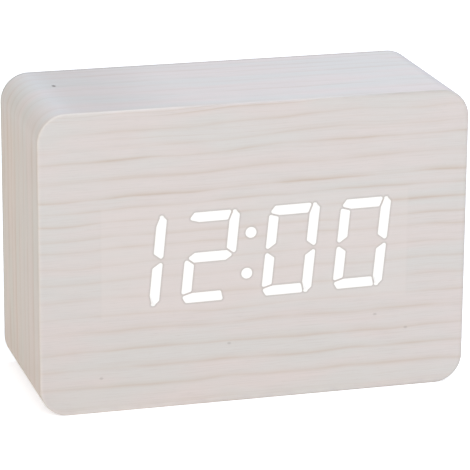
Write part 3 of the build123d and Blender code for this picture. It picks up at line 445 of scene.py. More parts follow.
@dataclass(frozen=True)
class DisplayVeneer(Veneer):
    """Front sheet: its own rings, a faint trace of the window, a grey rim round each segment."""

    name: str = "display_veneer"
    drift: float = 0.8
    height: float = 70.0
    heights: tuple[float, ...] = (
        1.0, 6.0, 10.3, 14.5, 19.2, 22.7, 26.7, 31.0, 34.7, 38.7,
        41.2, 44.8, 48.0, 50.7, 55.0, 59.5, 62.2, 66.0, 69.2,
    )
    bow: float = 0.7
    bow_middle: float = -8.0
    bow_run: float = 14.0
    bow_rise: Span = (36.0, 56.0)
    ring: Colour = paint(204, 186, 172)
    ring_share: float = 0.9
    fine_share: float = 0.2
    soft_side: float = 8.0
    bold_ramp: Ramp = (26.0, 54.0, 0.82, 1.4)
    faint_ramp: Ramp = (-42.0, -30.0, 0.62, 1.0)
    window: Span = (36.0, 13.0)
    window_centre: Span = (0.0, 35.0)
    wash: Colour = paint(229, 219, 216)
    wash_ramp: Ramp = (0.5, -0.5, 0.0, 0.34)
    shade: Colour = paint(180, 173, 170)
    border_ramp: Ramp = (0.45, 0.1, 0.0, 0.03)
    rim_share: float = 0.6
    # Painted light: the front is painted paler towards the top, where more light falls
    painted_top_light: Colour = paint(236, 231, 230)
    painted_top_light_ramp: Ramp = (8.0, 56.0, 0.0, 0.16)
    # Painted light on the arris: a pale painted highlight at the left end that fades into painted shade
    # towards the right
    wear_and_highlight: Colour = paint(238, 230, 225)
    arris_highlight_fade: Span = (-24.0, -4.0)
    arris_painted_shares: Span = (0.4, 0.12)
    arris_shade_ramp: Ramp = (12.0, 36.0, 0.0, 0.25)
    pore_size: float = 0.42
    pore_share: float = 0.24
    pores: tuple[Span, ...] = ((-6.2, 14.0), (-36.0, 8.2), (36.0, 14.2), (28.5, 18.0))

    def count(self, level: Signal) -> Signal:
        """Counts rings at set heights; those of the upper half bow up towards the right.

        Args:
            level: Bent place across the grain.

        Returns:
            A count that passes a whole number at each ring.
        """
        graph = level.graph
        run = (graph.axes(self.place)[0] - self.bow_middle) / self.bow_run
        bow = graph.math("TANH", run) * level.step(*self.bow_rise, 0.0, self.bow)
        curve = graph.node("FloatCurve", {"Value": (level - bow) / self.height})
        mapping = curve.socket.node.mapping
        points = mapping.curves[0].points
        last = len(self.heights) + 1
        for number, height in enumerate(self.heights, 1):
            points.new(height / self.height, number / last)
        for point in points:
            point.handle_type = "VECTOR"
        mapping.update()
        return curve * float(last)

    def emphasis(self, along: Signal) -> Signal:
        """Factor on the rings, which are bolder towards the top and fainter at the left end."""
        z = along.graph.axes(self.place)[1]
        return z.step(*self.bold_ramp) * along.step(*self.faint_ramp)

    def dress(self, graph: Graph, colour: Signal) -> Signal:
        """Adds the window's trace, a painted lighter upper half where more light falls, the rims of the
        segments and painted light on the arris.

        The arris gets a painted highlight at the left and painted shade towards the right.

        Args:
            graph: Graph to add to.
            colour: Colour of the plain veneer.

        Returns:
            The dressed colour.
        """
        x, z, _ = graph.axes(self.place)
        beyond = [
            abs(axis - middle) - half
            for axis, middle, half in zip((x, z), self.window_centre, self.window)
        ]
        outside = graph.math("MAXIMUM", *beyond)
        colour = graph.mix(outside.step(*self.wash_ramp), colour, self.wash)
        colour = graph.mix(abs(outside).step(*self.border_ramp), colour, self.shade)
        # Painted light: paler towards the top, where more light falls
        colour = graph.mix(z.step(*self.painted_top_light_ramp), colour, self.painted_top_light)
        colour = graph.mix(graph.attribute("rim") * self.rim_share, colour, self.shade)
        # Painted highlight on the arris at the left and painted shade on it towards the right
        edge = graph.mix(x.step(*self.arris_highlight_fade), self.wear_and_highlight, self.shade)
        share = x.step(*self.arris_highlight_fade, *self.arris_painted_shares) + x.step(*self.arris_shade_ramp)
        return graph.mix(graph.attribute("arris") * share, colour, edge)


@dataclass(frozen=True)
class Stretch:
    """Part of the strip round the edge, with soft ends, and the tint that it has."""

    start: Span
    end: Span
    tint: Colour = WHITE
    blend: Blend = Blend.DARKEN

    def mask(self, along: Signal) -> Signal:
        """One on the stretch and nothing beyond it."""
        return along.step(*self.start) * along.step(*self.end, 1.0, 0.0)


@dataclass(frozen=True)
class EdgeVeneer(Veneer):
    """Strip round the edge: calm rings on top, painted shade on the right corner, a darker, warmer left
    end and a painted highlight on the left corner.
    """

    name: str = "edge_veneer"
    place: Place = Place.BAND
    seed: float = 11.0
    spacing: float = 4.6
    ring_share: float = 0.78
    fine_share: float = 0.16
    pores: tuple[Span, ...] = ((174.9, 5.5),)
    pore_size: float = 0.6
    pore_share: float = 0.9
    pore_squeeze: Span = (0.95, 0.5)
    calm: float = 0.65
    calm_stretch: Stretch = Stretch((84.0, 94.0), (180.0, 194.0))
    glue: Colour = paint(222, 219, 217)
    glue_line: Span = (18.5, 19.2)
    # Painted shade on the upper right corner, where the rounding turns away from the light
    painted_right_corner_shade: Stretch = Stretch((79.0, 84.0), (87.5, 90.8), paint(232, 231, 234))
    # Darker towards the left end of the top
    darker_top_left: Stretch = Stretch((146.0, 168.0), (174.0, 184.0), paint(243, 243, 243))
    tan: Stretch = Stretch((184.0, 196.0), (246.0, 254.0), paint(255, 252, 247))
    tan_ramp: Ramp = (-12.0, 12.0, 0.3, 1.0)
    # Painted highlight on the upper left corner, screened over the grain
    painted_left_corner_highlight: Stretch = Stretch((172.0, 181.0), (183.0, 192.0), paint(78, 100, 112), Blend.BRIGHTEN)

    def emphasis(self, along: Signal) -> Signal:
        """Factor on the rings, which are calmer along the top."""
        return self.calm_stretch.mask(along).step(0.0, 1.0, 1.0, self.calm)

    def dress(self, graph: Graph, colour: Signal) -> Signal:
        """Adds the glue line along the rear edge, painted shade on the upper right corner, a darker
        left end of the top, a warmer left side and a painted highlight on the upper left corner.

        Args:
            graph: Graph to add to.
            colour: Colour of the plain veneer.

        Returns:
            The dressed colour.
        """
        along, across = graph.axes(self.place)[:2]
        colour = graph.mix(across.step(*self.glue_line), colour, self.glue, Blend.DARKEN)
        rearward = across.step(*self.tan_ramp)
        # Painted shade on the upper right corner, a darker left end of the top, a warmer left side
        # towards the rear and a painted highlight on the upper left corner
        tints = ((self.painted_right_corner_shade, 1.0), (self.darker_top_left, 1.0), (self.tan, rearward), (self.painted_left_corner_highlight, 1.0))
        for stretch, share in tints:
            colour = graph.mix(stretch.mask(along) * share, colour, stretch.tint, stretch.blend)
        return colour


@dataclass(frozen=True)
class LitSegment(Finish):
    """Light of a segment: full white inside, a trace softer along its edge."""

    name: str = "lit_segment"
    core: Colour = paint(255, 255, 254)
    edge: Colour = paint(240, 237, 234)
    body: Colour = paint(110, 110, 110)
    strength: float = 0.88
    roughness: float = 0.5
    gloss: float = 0.2

    def coat(self, graph: Graph) -> None:
        """Lets the segment glow.

        Args:
            graph: Graph to fill.
        """
        graph.set("Base Color", self.body)
        graph.set("Emission Color", graph.mix(graph.attribute("core"), self.edge, self.core))
        graph.set("Emission Strength", self.strength)
        graph.set("Roughness", self.roughness)
        graph.set("Specular IOR Level", self.gloss)


@dataclass(frozen=True)
class Moulded(Finish):
    """Moulded plastic with a fine spark-eroded grain and slight unevenness of tone."""

    colour: Colour
    roughness: float = 0.5
    grain: float = 5.0
    relief: float = 0.012
    tone: float = 0.06
    clear: float = 0.0
    cloud_rate: float = 0.06
    cloud_shift: float = 4.0
    grain_ramp: Span = (0.5, 0.9)
    rough_spread: Span = (-0.05, 0.08)

    def coat(self, graph: Graph) -> None:
        """Mixes two tones by clouds and by the grain.

        Args:
            graph: Graph to fill.
        """
        texture = graph.grain((self.grain,) * 3, detail=2.0)
        clouds = graph.grain((self.cloud_rate,) * 3, detail=3.0, shift=self.cloud_shift)
        darker = scaled(self.colour, 1 - 2 * self.tone)
        colour = graph.mix(clouds.step(*MIDDLE), self.colour, darker)
        specks = texture.step(*self.grain_ramp, 0.0, self.tone)
        graph.set("Base Color", graph.mix(specks, colour, darker))
        smooth, dull = (self.roughness + part for part in self.rough_spread)
        graph.set("Roughness", texture.step(*MIDDLE, smooth, dull))
        graph.set("Transmission Weight", self.clear)
        graph.bump(texture, self.relief)


@dataclass(frozen=True)
class Plated(Finish):
    """Plated metal with brushing along one axis."""

    colour: Colour
    roughness: float = 0.3
    brushing: Rates = (0.3, 6.0, 6.0)
    dull_share: float = 0.78
    rough_spread: Span = (-0.08, 0.12)
    relief: float = 0.004

    def coat(self, graph: Graph) -> None:
        """Brushes the metal bright and dull.

        Args:
            graph: Graph to fill.
        """
        brushed = graph.grain(self.brushing, detail=3.0)
        dull = scaled(self.colour, self.dull_share)
        graph.set("Base Color", graph.mix(brushed.step(*MIDDLE), dull, self.colour))
        graph.set("Metallic", 1.0)
        bright, matt = (self.roughness + part for part in self.rough_spread)
        graph.set("Roughness", brushed.step(*MIDDLE, bright, matt))
        graph.bump(brushed, self.relief)


@dataclass(frozen=True)
class Fibreboard(Finish):
    """Milled fibreboard: brown, flecked and rough."""

    name: str = "fibreboard"
    light: Colour = paint(186, 156, 120)
    dark: Colour = paint(146, 114, 82)
    fleck_rates: Rates = (1.6, 2.4, 1.6)
    fleck_ramp: Span = (0.35, 0.65)
    roughness: float = 0.85
    relief: float = 0.06

    def coat(self, graph: Graph) -> None:
        """Mixes light and dark flecks.

        Args:
            graph: Graph to fill.
        """
        flecks = graph.grain(self.fleck_rates, detail=4.0)
        graph.set("Base Color", graph.mix(flecks.step(*self.fleck_ramp), self.light, self.dark))
        graph.set("Roughness", self.roughness)
        graph.bump(flecks, self.relief)


@dataclass(frozen=True)
class SolderMask(Finish):
    """Circuit board: green lacquer over copper runs that stand a little proud."""

    name: str = "solder_mask"
    lacquer: Colour = paint(24, 92, 58)
    over_copper: Colour = paint(44, 122, 78)
    pitch: float = 0.45
    lane_rate: float = 0.10
    lane_seed: float = 2.0
    lane_turns: float = 9.0
    run_ramp: Span = (0.24, 0.30)
    roughness: float = 0.28
    relief: float = 0.03

    def coat(self, graph: Graph) -> None:
        """Draws copper runs along the level lines of a slow noise.

        Args:
            graph: Graph to fill.
        """
        x, z, _ = graph.axes(Place.FACE)
        lanes = graph.vector(x * self.lane_rate, z * self.lane_rate, self.lane_seed).noise(detail=0.0)
        turned = lanes * self.lane_turns + z * self.pitch
        copper = abs(graph.math("FRACT", turned) - 0.5).step(*self.run_ramp)
        graph.set("Base Color", graph.mix(copper, self.over_copper, self.lacquer))
        graph.set("Roughness", self.roughness)
        graph.bump(1.0 - copper, self.relief)


@dataclass(frozen=True)
class CellSleeve(Finish):
    """Sleeve of a round cell: plain slate foil, a pale band at the nub end and bare steel ends."""

    start: float
    toward: float
    length: float = 43.6
    foil: Colour = paint(74, 104, 122)
    band: Colour = paint(214, 216, 214)
    steel: Colour = paint(206, 206, 204)
    band_start: float = 36.0
    skin: float = 0.45
    blur: float = 0.1
    brushing: Rates = (4.0, 0.4, 0.4)
    brush_ramp: Ramp = (0.4, 0.8, 0.0, 0.06)
    metal: Span = (1.0, 0.35)
    roughness: Span = (0.28, 0.36)
    relief: float = 0.0012

    def coat(self, graph: Graph) -> None:
        """Colours the cell by how far along it a point lies.

        Args:
            graph: Graph to fill.
        """
        reach = (graph.axes(Place.SOLID)[0] - self.start) * self.toward
        brushed = graph.grain(self.brushing, detail=2.0)
        banded = reach.step(self.band_start, self.band_start + self.blur)
        nub_end = self.length - self.skin
        inside = reach.step(self.skin, self.skin + self.blur) * reach.step(nub_end, nub_end - self.blur)
        colour = graph.mix(inside, self.steel, graph.mix(banded, self.foil, self.band))
        graph.set("Base Color", graph.mix(brushed.step(*self.brush_ramp), colour, self.foil))
        graph.set("Metallic", inside.step(0.0, 1.0, *self.metal))
        graph.set("Roughness", brushed.step(*MIDDLE, *self.roughness))
        graph.bump(brushed, self.relief)


@dataclass(frozen=True)
class Insulation(Finish):
    """Soft insulation of a lead or flat cable, with faint ribs where it has any."""

    colour: Colour
    ribs: float = 0.0
    rub_rate: float = 1.1
    rub_ramp: Ramp = (0.45, 0.8, 0.0, 0.6)
    wear: Span = (1.5, 0.01)
    roughness: Span = (0.42, 0.58)
    rib_share: float = 0.5
    relief: float = 0.03

    def coat(self, graph: Graph) -> None:
        """Rubs the colour pale in places and adds ribs along X.

        Args:
            graph: Graph to fill.
        """
        rub = graph.grain((self.rub_rate,) * 3, detail=3.0)
        wave = graph.math("SINE", graph.axes(Place.SOLID)[0] * (2 * math.pi * self.ribs))
        wear_and_highlight = scaled(self.colour, *self.wear)
        graph.set("Base Color", graph.mix(rub.step(*self.rub_ramp), self.colour, wear_and_highlight))
        graph.set("Roughness", rub.step(*MIDDLE, *self.roughness))
        graph.bump(wave * self.rib_share + rub, self.relief)


@dataclass(frozen=True)
class LedPackage(Finish):
    """LED chip: ivory housing with a yellow phosphor window towards the front."""

    name: str = "led_package"
    housing: Colour = paint(236, 230, 214)
    phosphor: Colour = paint(240, 206, 84)
    window_y: float = -16.15
    blur: float = 0.02
    speck_rate: float = 3.0
    roughness: Span = (0.2, 0.35)

    def coat(self, graph: Graph) -> None:
        """Colours the front of the chip with phosphor.

        Args:
            graph: Graph to fill.
        """
        speck = graph.grain((self.speck_rate,) * 3, detail=2.0)
        y = graph.axes(Place.SOLID)[1]
        front = y.step(self.window_y + self.blur, self.window_y - self.blur)
        window = graph.mix(speck, self.phosphor, self.housing)
        graph.set("Base Color", graph.mix(front, self.housing, window))
        graph.set("Roughness", speck.step(*MIDDLE, *self.roughness))


def standing(flat: np.ndarray, y: np.ndarray | float) -> np.ndarray:
    """Points in space from points in X and Z and what broadcasts to their places along Y."""
    depth = np.broadcast_to(y, flat.shape[:-1])
    return np.stack([flat[..., 0], depth, flat[..., 1]], axis=-1)


def circle(angle: np.ndarray) -> np.ndarray:
    """Unit directions at some angles, with both parts on the last axis."""
    return np.stack([np.cos(angle), np.sin(angle)], axis=-1)


@dataclass
class Surface:
    """Mesh of one new piece, gathered from whole arrays of points and faces."""

    name: str
    points: list[np.ndarray] = field(default_factory=list)
    faces: list[list[int]] = field(default_factory=list)
    values: dict[str, list[np.ndarray]] = field(default_factory=dict)
    count: int = 0
    stood_for: ClassVar[set[str]] = set()

    def add(self, points: np.ndarray, **values: np.ndarray | float) -> np.ndarray:
        """Adds points with the values that their attributes take.

        Args:
            points: Array whose last axis holds x, y and z in millimetres.
            values: Number or vector for each point, or for all of them, by attribute name.

        Returns:
            Numbers of the new points, in the shape of the array.
        """
        shape = points.shape[:-1]
        numbers = np.arange(self.count, self.count + math.prod(shape)).reshape(shape)
        self.points.append(points.reshape(-1, 3))
        for name, value in values.items():
            part = np.asarray(value)
            flat = np.broadcast_to(part, shape + part.shape[len(shape):])
            self.values.setdefault(name, []).append(flat.reshape(numbers.size, -1))
        self.count += numbers.size
        return numbers

    def skin(self, numbers: np.ndarray, loop: bool = False) -> None:
        """Quads over a grid of point numbers; loop joins the last column to the first.

        Args:
            numbers: Rows and columns of point numbers.
            loop: Whether each row is a closed ring.
        """
        grid = np.concatenate([numbers, numbers[:, :1]], axis=1) if loop else numbers
        quads = np.stack([grid[:-1, :-1], grid[:-1, 1:], grid[1:, 1:], grid[1:, :-1]], axis=-1)
        self.faces.extend(quads.reshape(-1, 4).tolist())

    def cap(self, ring: np.ndarray) -> None:
        """Closes a ring of point numbers with one face."""
        self.faces.append(ring.tolist())

    def fan(self, ring: np.ndarray, middle: int) -> None:
        """Closes a ring of point numbers with triangles to a middle point."""
        corners = np.stack([ring, np.roll(ring, -1), np.full_like(ring, middle)], axis=-1)
        self.faces.extend(corners.tolist())

    def make(self, slot: str, material: bpy.types.Material, node: str) -> None:
        """Builds the mesh, hangs the piece on the case's body, and hides and notes the node that it
        stands for.

        Args:
            slot: Material slot of the record; not used.
            material: Its material.
            node: Node that it stands for.
        """
        mesh = bpy.data.meshes.new(self.name)
        mesh.from_pydata((np.concatenate(self.points) * MM).tolist(), [], self.faces)
        for name, parts in self.values.items():
            flat = np.concatenate(parts)
            kind, key = ("FLOAT_VECTOR", "vector") if flat.shape[1] == 3 else ("FLOAT", "value")
            mesh.attributes.new(name, kind, "POINT").data.foreach_set(key, flat.ravel())
        mesh.shade_smooth()
        mesh.set_sharp_from_angle(angle=SHARP_ANGLE)
        mesh.materials.append(material)
        piece = bpy.data.objects.new(self.name, mesh)
        bpy.context.scene.collection.objects.link(piece)
        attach(piece, CASE_BODY)
        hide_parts(node)
        self.stood_for.add(node)
        LOG.info("%s: %d points, %d faces", self.name, self.count, len(self.faces))


@dataclass
class Display:
    """Lit segments that read 12:00, and the thin rim that each has in the veneer."""

    centre_x: float = -1.3
    centre_z: float = 35.1
    width: float = 12.25
    height: float = 21.5
    digit_pitch: float = 16.9
    pair_pitch: float = 18.8
    slant: float = 5.5
    tilt: float = 0.7
    stroke: float = 2.7
    gap: float = 0.36
    rounding: float = 0.45
    corner_cut: float = 1.3
    mitre_run: float = 0.85
    tip_drop: float = 1.9
    waist_rise: float = 1.6
    waist_cut: float = 0.9
    waist_inset: float = 0.5
    dot_radius: float = 1.3
    dot_spacing: float = 9.55
    colon_shift: float = -0.4
    face: float = -20.0
    sunk: float = 0.3
    crown: float = 0.02
    soft_edge: float = 0.2
    rim: float = 0.42
    arc_steps: int = 6
    dot_steps: int = 48
    lit: tuple[tuple[str, str], ...] = (
        ("digit_hour_tens", "bc"),
        ("digit_hour_units", "abged"),
        ("digit_minute_tens", "abcdef"),
        ("digit_minute_units", "abcdef"),
    )

    def centres(self) -> list[float]:
        """Places of the digits along X, from the left."""
        inner = self.pair_pitch / 2
        outer = inner + self.digit_pitch
        return [self.centre_x + shift for shift in (-outer, -inner, inner, outer)]

    def upright(self, letter: str) -> np.ndarray:
        """Corners of one segment of an upright digit, listed anticlockwise.

        Args:
            letter: Segment letter, a to g.

        Returns:
            Corner points around the middle of the digit.
        """
        half_w, half_h, half_s = self.width / 2, self.height / 2, self.stroke / 2
        inner_w, inner_h = half_w - self.stroke, half_h - self.stroke
        waist = half_w - self.waist_inset
        shoulder = waist - half_s * (self.stroke - self.waist_inset) / self.waist_rise
        tip, mitre = (-half_w, half_h - self.tip_drop), (inner_w + self.mitre_run, half_h)
        cut_w, cut_h = half_w - self.corner_cut, half_h - self.corner_cut
        top = [tip, (-inner_w, inner_h), (inner_w, inner_h), mitre, (-cut_w, half_h)]
        right = [
            mitre, (inner_w, inner_h), (inner_w, self.waist_rise), (waist, 0),
            (half_w, self.waist_cut), (half_w, cut_h), (cut_w, half_h),
        ]
        left = [
            tip, (-half_w, self.waist_cut), (-waist, 0),
            (-inner_w, self.waist_rise), (-inner_w, inner_h),
        ]
        bar = [
            (-waist, 0), (-shoulder, -half_s), (shoulder, -half_s),
            (waist, 0), (shoulder, half_s), (-shoulder, half_s),
        ]
        upper = {"a": top, "b": right, "f": left, "g": bar}
        lower = {"d": top, "c": right, "e": left}
        if letter in upper:
            return np.array(upper[letter], float)
        return (np.array(lower[letter], float) * (1, -1))[::-1]

    def core(self, letter: str, centre_x: float) -> np.ndarray:
        """Corners of a slanted segment, moved in by half the gap and the corner radius.

        Each corner moves along the sum of the two inward normals beside it, divided by one
        plus their product, which keeps every side parallel.

        Args:
            letter: Segment letter.
            centre_x: Place of the digit.

        Returns:
            Corner points in X and Z.
        """
        corners = self.placed(self.upright(letter), centre_x)
        normal = self.normals(corners)
        before = np.roll(normal, 1, axis=0)
        share = (self.gap / 2 + self.rounding) / (1 + (normal * before).sum(axis=1, keepdims=True))
        return corners - (normal + before) * share

    def placed(self, points: np.ndarray, centre_x: float) -> np.ndarray:
        """Points of an upright digit, slanted and moved to its place in the slightly tilted row.

        Args:
            points: Points about the middle of the digit.
            centre_x: Place of the digit.

        Returns:
            Points in X and Z on the front.
        """
        lean, climb = (math.tan(math.radians(angle)) for angle in (self.slant, self.tilt))
        across = centre_x + points[:, 0]
        rise = self.centre_z + points[:, 1] + (across - self.centre_x) * climb
        return np.stack([across + points[:, 1] * lean, rise], axis=1)

    @staticmethod
    def normals(corners: np.ndarray) -> np.ndarray:
        """Outward unit normals of the sides that start at each corner.

        Args:
            corners: Corners listed anticlockwise.

        Returns:
            One direction for each side.
        """
        side = np.roll(corners, -1, axis=0) - corners
        side /= np.linalg.norm(side, axis=1, keepdims=True)
        return np.stack([side[:, 1], -side[:, 0]], axis=1)

    def path(self, corners: np.ndarray) -> tuple[np.ndarray, np.ndarray]:
        """Round path about a core: at each corner the outward direction turns from side to side.

        Args:
            corners: Corners of the core.

        Returns:
            Core point and unit outward direction for each step of the path.
        """
        normal = self.normals(corners)
        before = np.roll(normal, 1, axis=0)
        start = np.arctan2(before[:, 1], before[:, 0])
        turn = np.mod(np.arctan2(normal[:, 1], normal[:, 0]) - start, 2 * math.pi)
        angle = start[:, None] + turn[:, None] * np.linspace(0, 1, self.arc_steps)
        return np.repeat(corners, self.arc_steps, axis=0), circle(angle).reshape(-1, 2)

    def dots(self) -> np.ndarray:
        """Centres of the colon's two dots."""
        upright = np.array([[self.colon_shift, side * self.dot_spacing / 2] for side in (1, -1)])
        return self.placed(upright, self.centre_x)

    def patch(self, surface: Surface, base: np.ndarray, outward: np.ndarray, radius: float) -> None:
        """One lit patch: rings at base plus outward times a falling radius, closed by a flat face.

        Args:
            surface: Surface to add to.
            base: Point that each step of the outline is measured from.
            outward: Unit direction of each step.
            radius: Distance of the outline from its base points.
        """
        inner = radius - self.soft_edge
        reach = np.array([radius, radius, radius - self.crown, inner, inner])
        depth = np.array([self.sunk, self.crown / 2, 0, 0, self.sunk])
        glow = np.array([0.0, 0.0, 0.0, 1.0, 1.0])
        flat = base + outward * reach[:, None, None]
        numbers = surface.add(standing(flat, (self.face + depth)[:, None]), core=glow[:, None])
        surface.skin(numbers[:4], loop=True)
        surface.cap(numbers[3])
        surface.skin(numbers[[4, 0]], loop=True)
        surface.cap(numbers[4][::-1])

    def build(self, material: bpy.types.Material) -> None:
        """Makes the four digits and the colon.

        Args:
            material: Material of the light.
        """
        for (node, letters), centre_x in zip(self.lit, self.centres()):
            surface = Surface(f"light_{node}")
            for letter in letters:
                self.patch(surface, *self.path(self.core(letter, centre_x)), self.rounding)
            surface.make("lit_segment", material, node)
        colon = Surface("light_colon")
        outward = circle(np.linspace(0, 2 * math.pi, self.dot_steps, endpoint=False))
        for centre in self.dots():
            self.patch(colon, centre, outward, self.dot_radius)
        colon.make("lit_segment", material, "colon_dots")

    def rim_strength(self, x: np.ndarray, z: np.ndarray) -> np.ndarray:
        """How strongly the rim of a segment shows at each point of the veneer.

        The distance to a core is the least distance to its sides, and the rim falls from one
        at the segment's edge to nothing at its width.

        Args:
            x: Places along X.
            z: Places along Z.

        Returns:
            Strength between 0 and 1, in the shape of x.
        """
        place = np.stack([x.ravel(), z.ravel()], axis=1)
        least = np.full(len(place), np.inf)
        for (_, letters), centre_x in zip(self.lit, self.centres()):
            for letter in letters:
                corner = self.core(letter, centre_x)
                side = np.roll(corner, -1, axis=0) - corner
                away = place[:, None] - corner[None]
                share = np.clip((away * side).sum(-1) / (side**2).sum(-1), 0, 1)
                gap = np.linalg.norm(away - share[..., None] * side, axis=-1).min(axis=1)
                least = np.minimum(least, gap - self.rounding)
        for centre in self.dots():
            least = np.minimum(least, np.linalg.norm(place - centre, axis=1) - self.dot_radius)
        return np.clip(1 - least / self.rim, 0, 1).reshape(x.shape)


@dataclass
class Case:
    """Veneered case: front sheet, and the strip round the edge with its seam under the base."""

    width: float = 100.0
    height: float = 70.0
    corner: float = 6.5
    veneer: float = 0.5
    front: float = -20.0
    rear: float = 20.0
    arris: float = 0.3
    # Share of the painted highlight and shade of the arris along the face's outer row
    painted_arris_border: float = 0.5
    joint: float = 0.07
    set_back: float = 0.02
    seam_x: float = 30.0
    seam_gap: float = 0.15
    corner_steps: int = 24
    side_steps: int = 8
    arris_steps: int = 4
    fine: float = 0.3
    fine_x: Span = (-37.0, 34.4)
    fine_z: Span = (23.0, 47.4)

    def lines(self, low: float, high: float, radius: float, fine: Span) -> np.ndarray:
        """Grid lines along one axis: close together in the corners and over the display.

        Args:
            low: First line.
            high: Last line.
            radius: Size of the corner zones.
            fine: Stretch over the display.

        Returns:
            Places of the lines in rising order.
        """
        marks = [low, low + radius, *fine, high - radius, high]
        corner, close = self.corner_steps // 2, round((fine[1] - fine[0]) / self.fine)
        steps = [corner, self.side_steps, close, self.side_steps, corner]
        runs = [np.linspace(a, b, n, endpoint=False) for a, b, n in zip(marks, marks[1:], steps)]
        return np.concatenate([*runs, [high]])

    def rounded(self, place: np.ndarray, radius: float) -> tuple[np.ndarray, np.ndarray]:
        """Bends a square-cornered grid into a round-cornered one.

        In a corner square, a point measured from the arc's centre is scaled by the larger of
        its two parts over its length, so the square's outer sides fall on the arc.

        Args:
            place: Points in X and Z.
            radius: Radius of the corners.

        Returns:
            The bent points, and the outward unit direction of each.
        """
        middle = np.array([0.0, self.height / 2])
        half = np.array([self.width, self.height]) / 2 - self.arris - radius
        anchor = np.clip(place - middle, -half, half)
        beyond = place - middle - anchor
        size = np.linalg.norm(beyond, axis=-1, keepdims=True)
        size = np.where(size > 0, size, 1)
        scale = np.abs(beyond).max(axis=-1, keepdims=True) / size
        return anchor + beyond * scale + middle, beyond / size

    @staticmethod
    def border(grid: np.ndarray) -> np.ndarray:
        """Outer ring of a grid, anticlockwise from its first corner."""
        return np.concatenate([grid[0, :-1], grid[:-1, -1], grid[-1, :0:-1], grid[:0:-1, 0]])

    def front_sheet(self, display: Display, material: bpy.types.Material) -> None:
        """Front sheet: a round-cornered grid with a rolled arris and a flat back.

        Args:
            display: Segments whose rims show in it.
            material: Material of the sheet.
        """
        radius = self.corner - self.arris
        reach_x = self.width / 2 - self.arris
        xs = self.lines(-reach_x, reach_x, radius, self.fine_x)
        zs = self.lines(self.arris, self.height - self.arris, radius, self.fine_z)
        flat, outward = self.rounded(np.stack(np.meshgrid(xs, zs), axis=-1), radius)
        face, back = self.front + self.set_back, self.front + self.veneer
        surface = Surface("veneer_front")
        rim = display.rim_strength(flat[..., 0], flat[..., 1])
        # Strength of the painted highlight and shade on the arris: a share along the face's outer row,
        # full on the arris itself
        wear_and_highlight = np.pad(np.zeros((len(zs) - 2, len(xs) - 2)), 1, constant_values=self.painted_arris_border)
        numbers = surface.add(standing(flat, face), rim=rim, arris=wear_and_highlight)
        surface.skin(numbers)
        edge, away, first = (self.border(grid) for grid in (flat, outward, numbers))
        turn = np.radians(np.linspace(0, 90, self.arris_steps + 1)[1:])
        reach = np.array([*(self.arris * np.sin(turn)), self.arris, self.arris - self.joint])
        depth = np.array([*(self.arris * (1 - np.cos(turn))), self.veneer - self.joint, self.veneer])
        around = standing(edge + away * reach[:, None, None], np.minimum(face + depth, back)[:, None])
        rings = surface.add(around, rim=0.0, arris=1.0)
        surface.skin(np.concatenate([first[None], rings]), loop=True)
        middle = surface.add(np.array([[0.0, back, self.height / 2]]), rim=0.0, arris=0.0)
        surface.fan(rings[-1], int(middle[0]))
        surface.make("white_veneer", material, "front_veneer")

    def outline(self) -> tuple[np.ndarray, np.ndarray]:
        """Path round the case from one side of the seam to the other, seen from the front.

        Returns:
            Points in X and Z, and outward unit directions.
        """
        half = np.array([self.width, self.height]) / 2 - self.corner
        signs = np.array([[1, -1], [1, 1], [-1, 1], [-1, -1]])
        quarter = np.linspace(0, 90, self.corner_steps + 1)
        turn = circle(np.radians(-90 + 90 * np.arange(4)[:, None] + quarter))
        arcs = (signs * half)[:, None] + turn * self.corner + (0, self.height / 2)
        lips = np.array([[self.seam_x + side * self.seam_gap / 2, 0] for side in (1, -1)])
        down = np.array([[0.0, -1.0]])
        points = np.concatenate([lips[:1], arcs.reshape(-1, 2), lips[1:]])
        return points, np.concatenate([down, turn.reshape(-1, 2), down])

    def edge_strip(self, material: bpy.types.Material) -> None:
        """Strip round the edge: its section carried along the outline, with the grain following.

        Args:
            material: Material of the strip.
        """
        points, outward = self.outline()
        length = np.concatenate([[0], np.cumsum(np.linalg.norm(np.diff(points, axis=0), axis=1))])
        low, high = self.front + self.veneer, self.rear - self.veneer
        inset = np.array([self.joint, 0, 0, self.joint, self.veneer, self.veneer])
        depth = np.array([low, low + self.joint, high - self.joint, high, high, low])
        section = standing(points[:, None] - outward[:, None] * inset[None, :, None], depth)
        run, y = np.broadcast_arrays(length[:, None], depth)
        grain = np.stack([run, y, np.zeros(y.shape)], axis=-1) * MM
        surface = Surface("veneer_edge")
        rings = surface.add(section, grain=grain)
        surface.skin(rings[:, ::-1], loop=True)
        surface.cap(rings[0])
        surface.cap(rings[-1][::-1])
        surface.make("white_veneer", material, "edge_veneer")


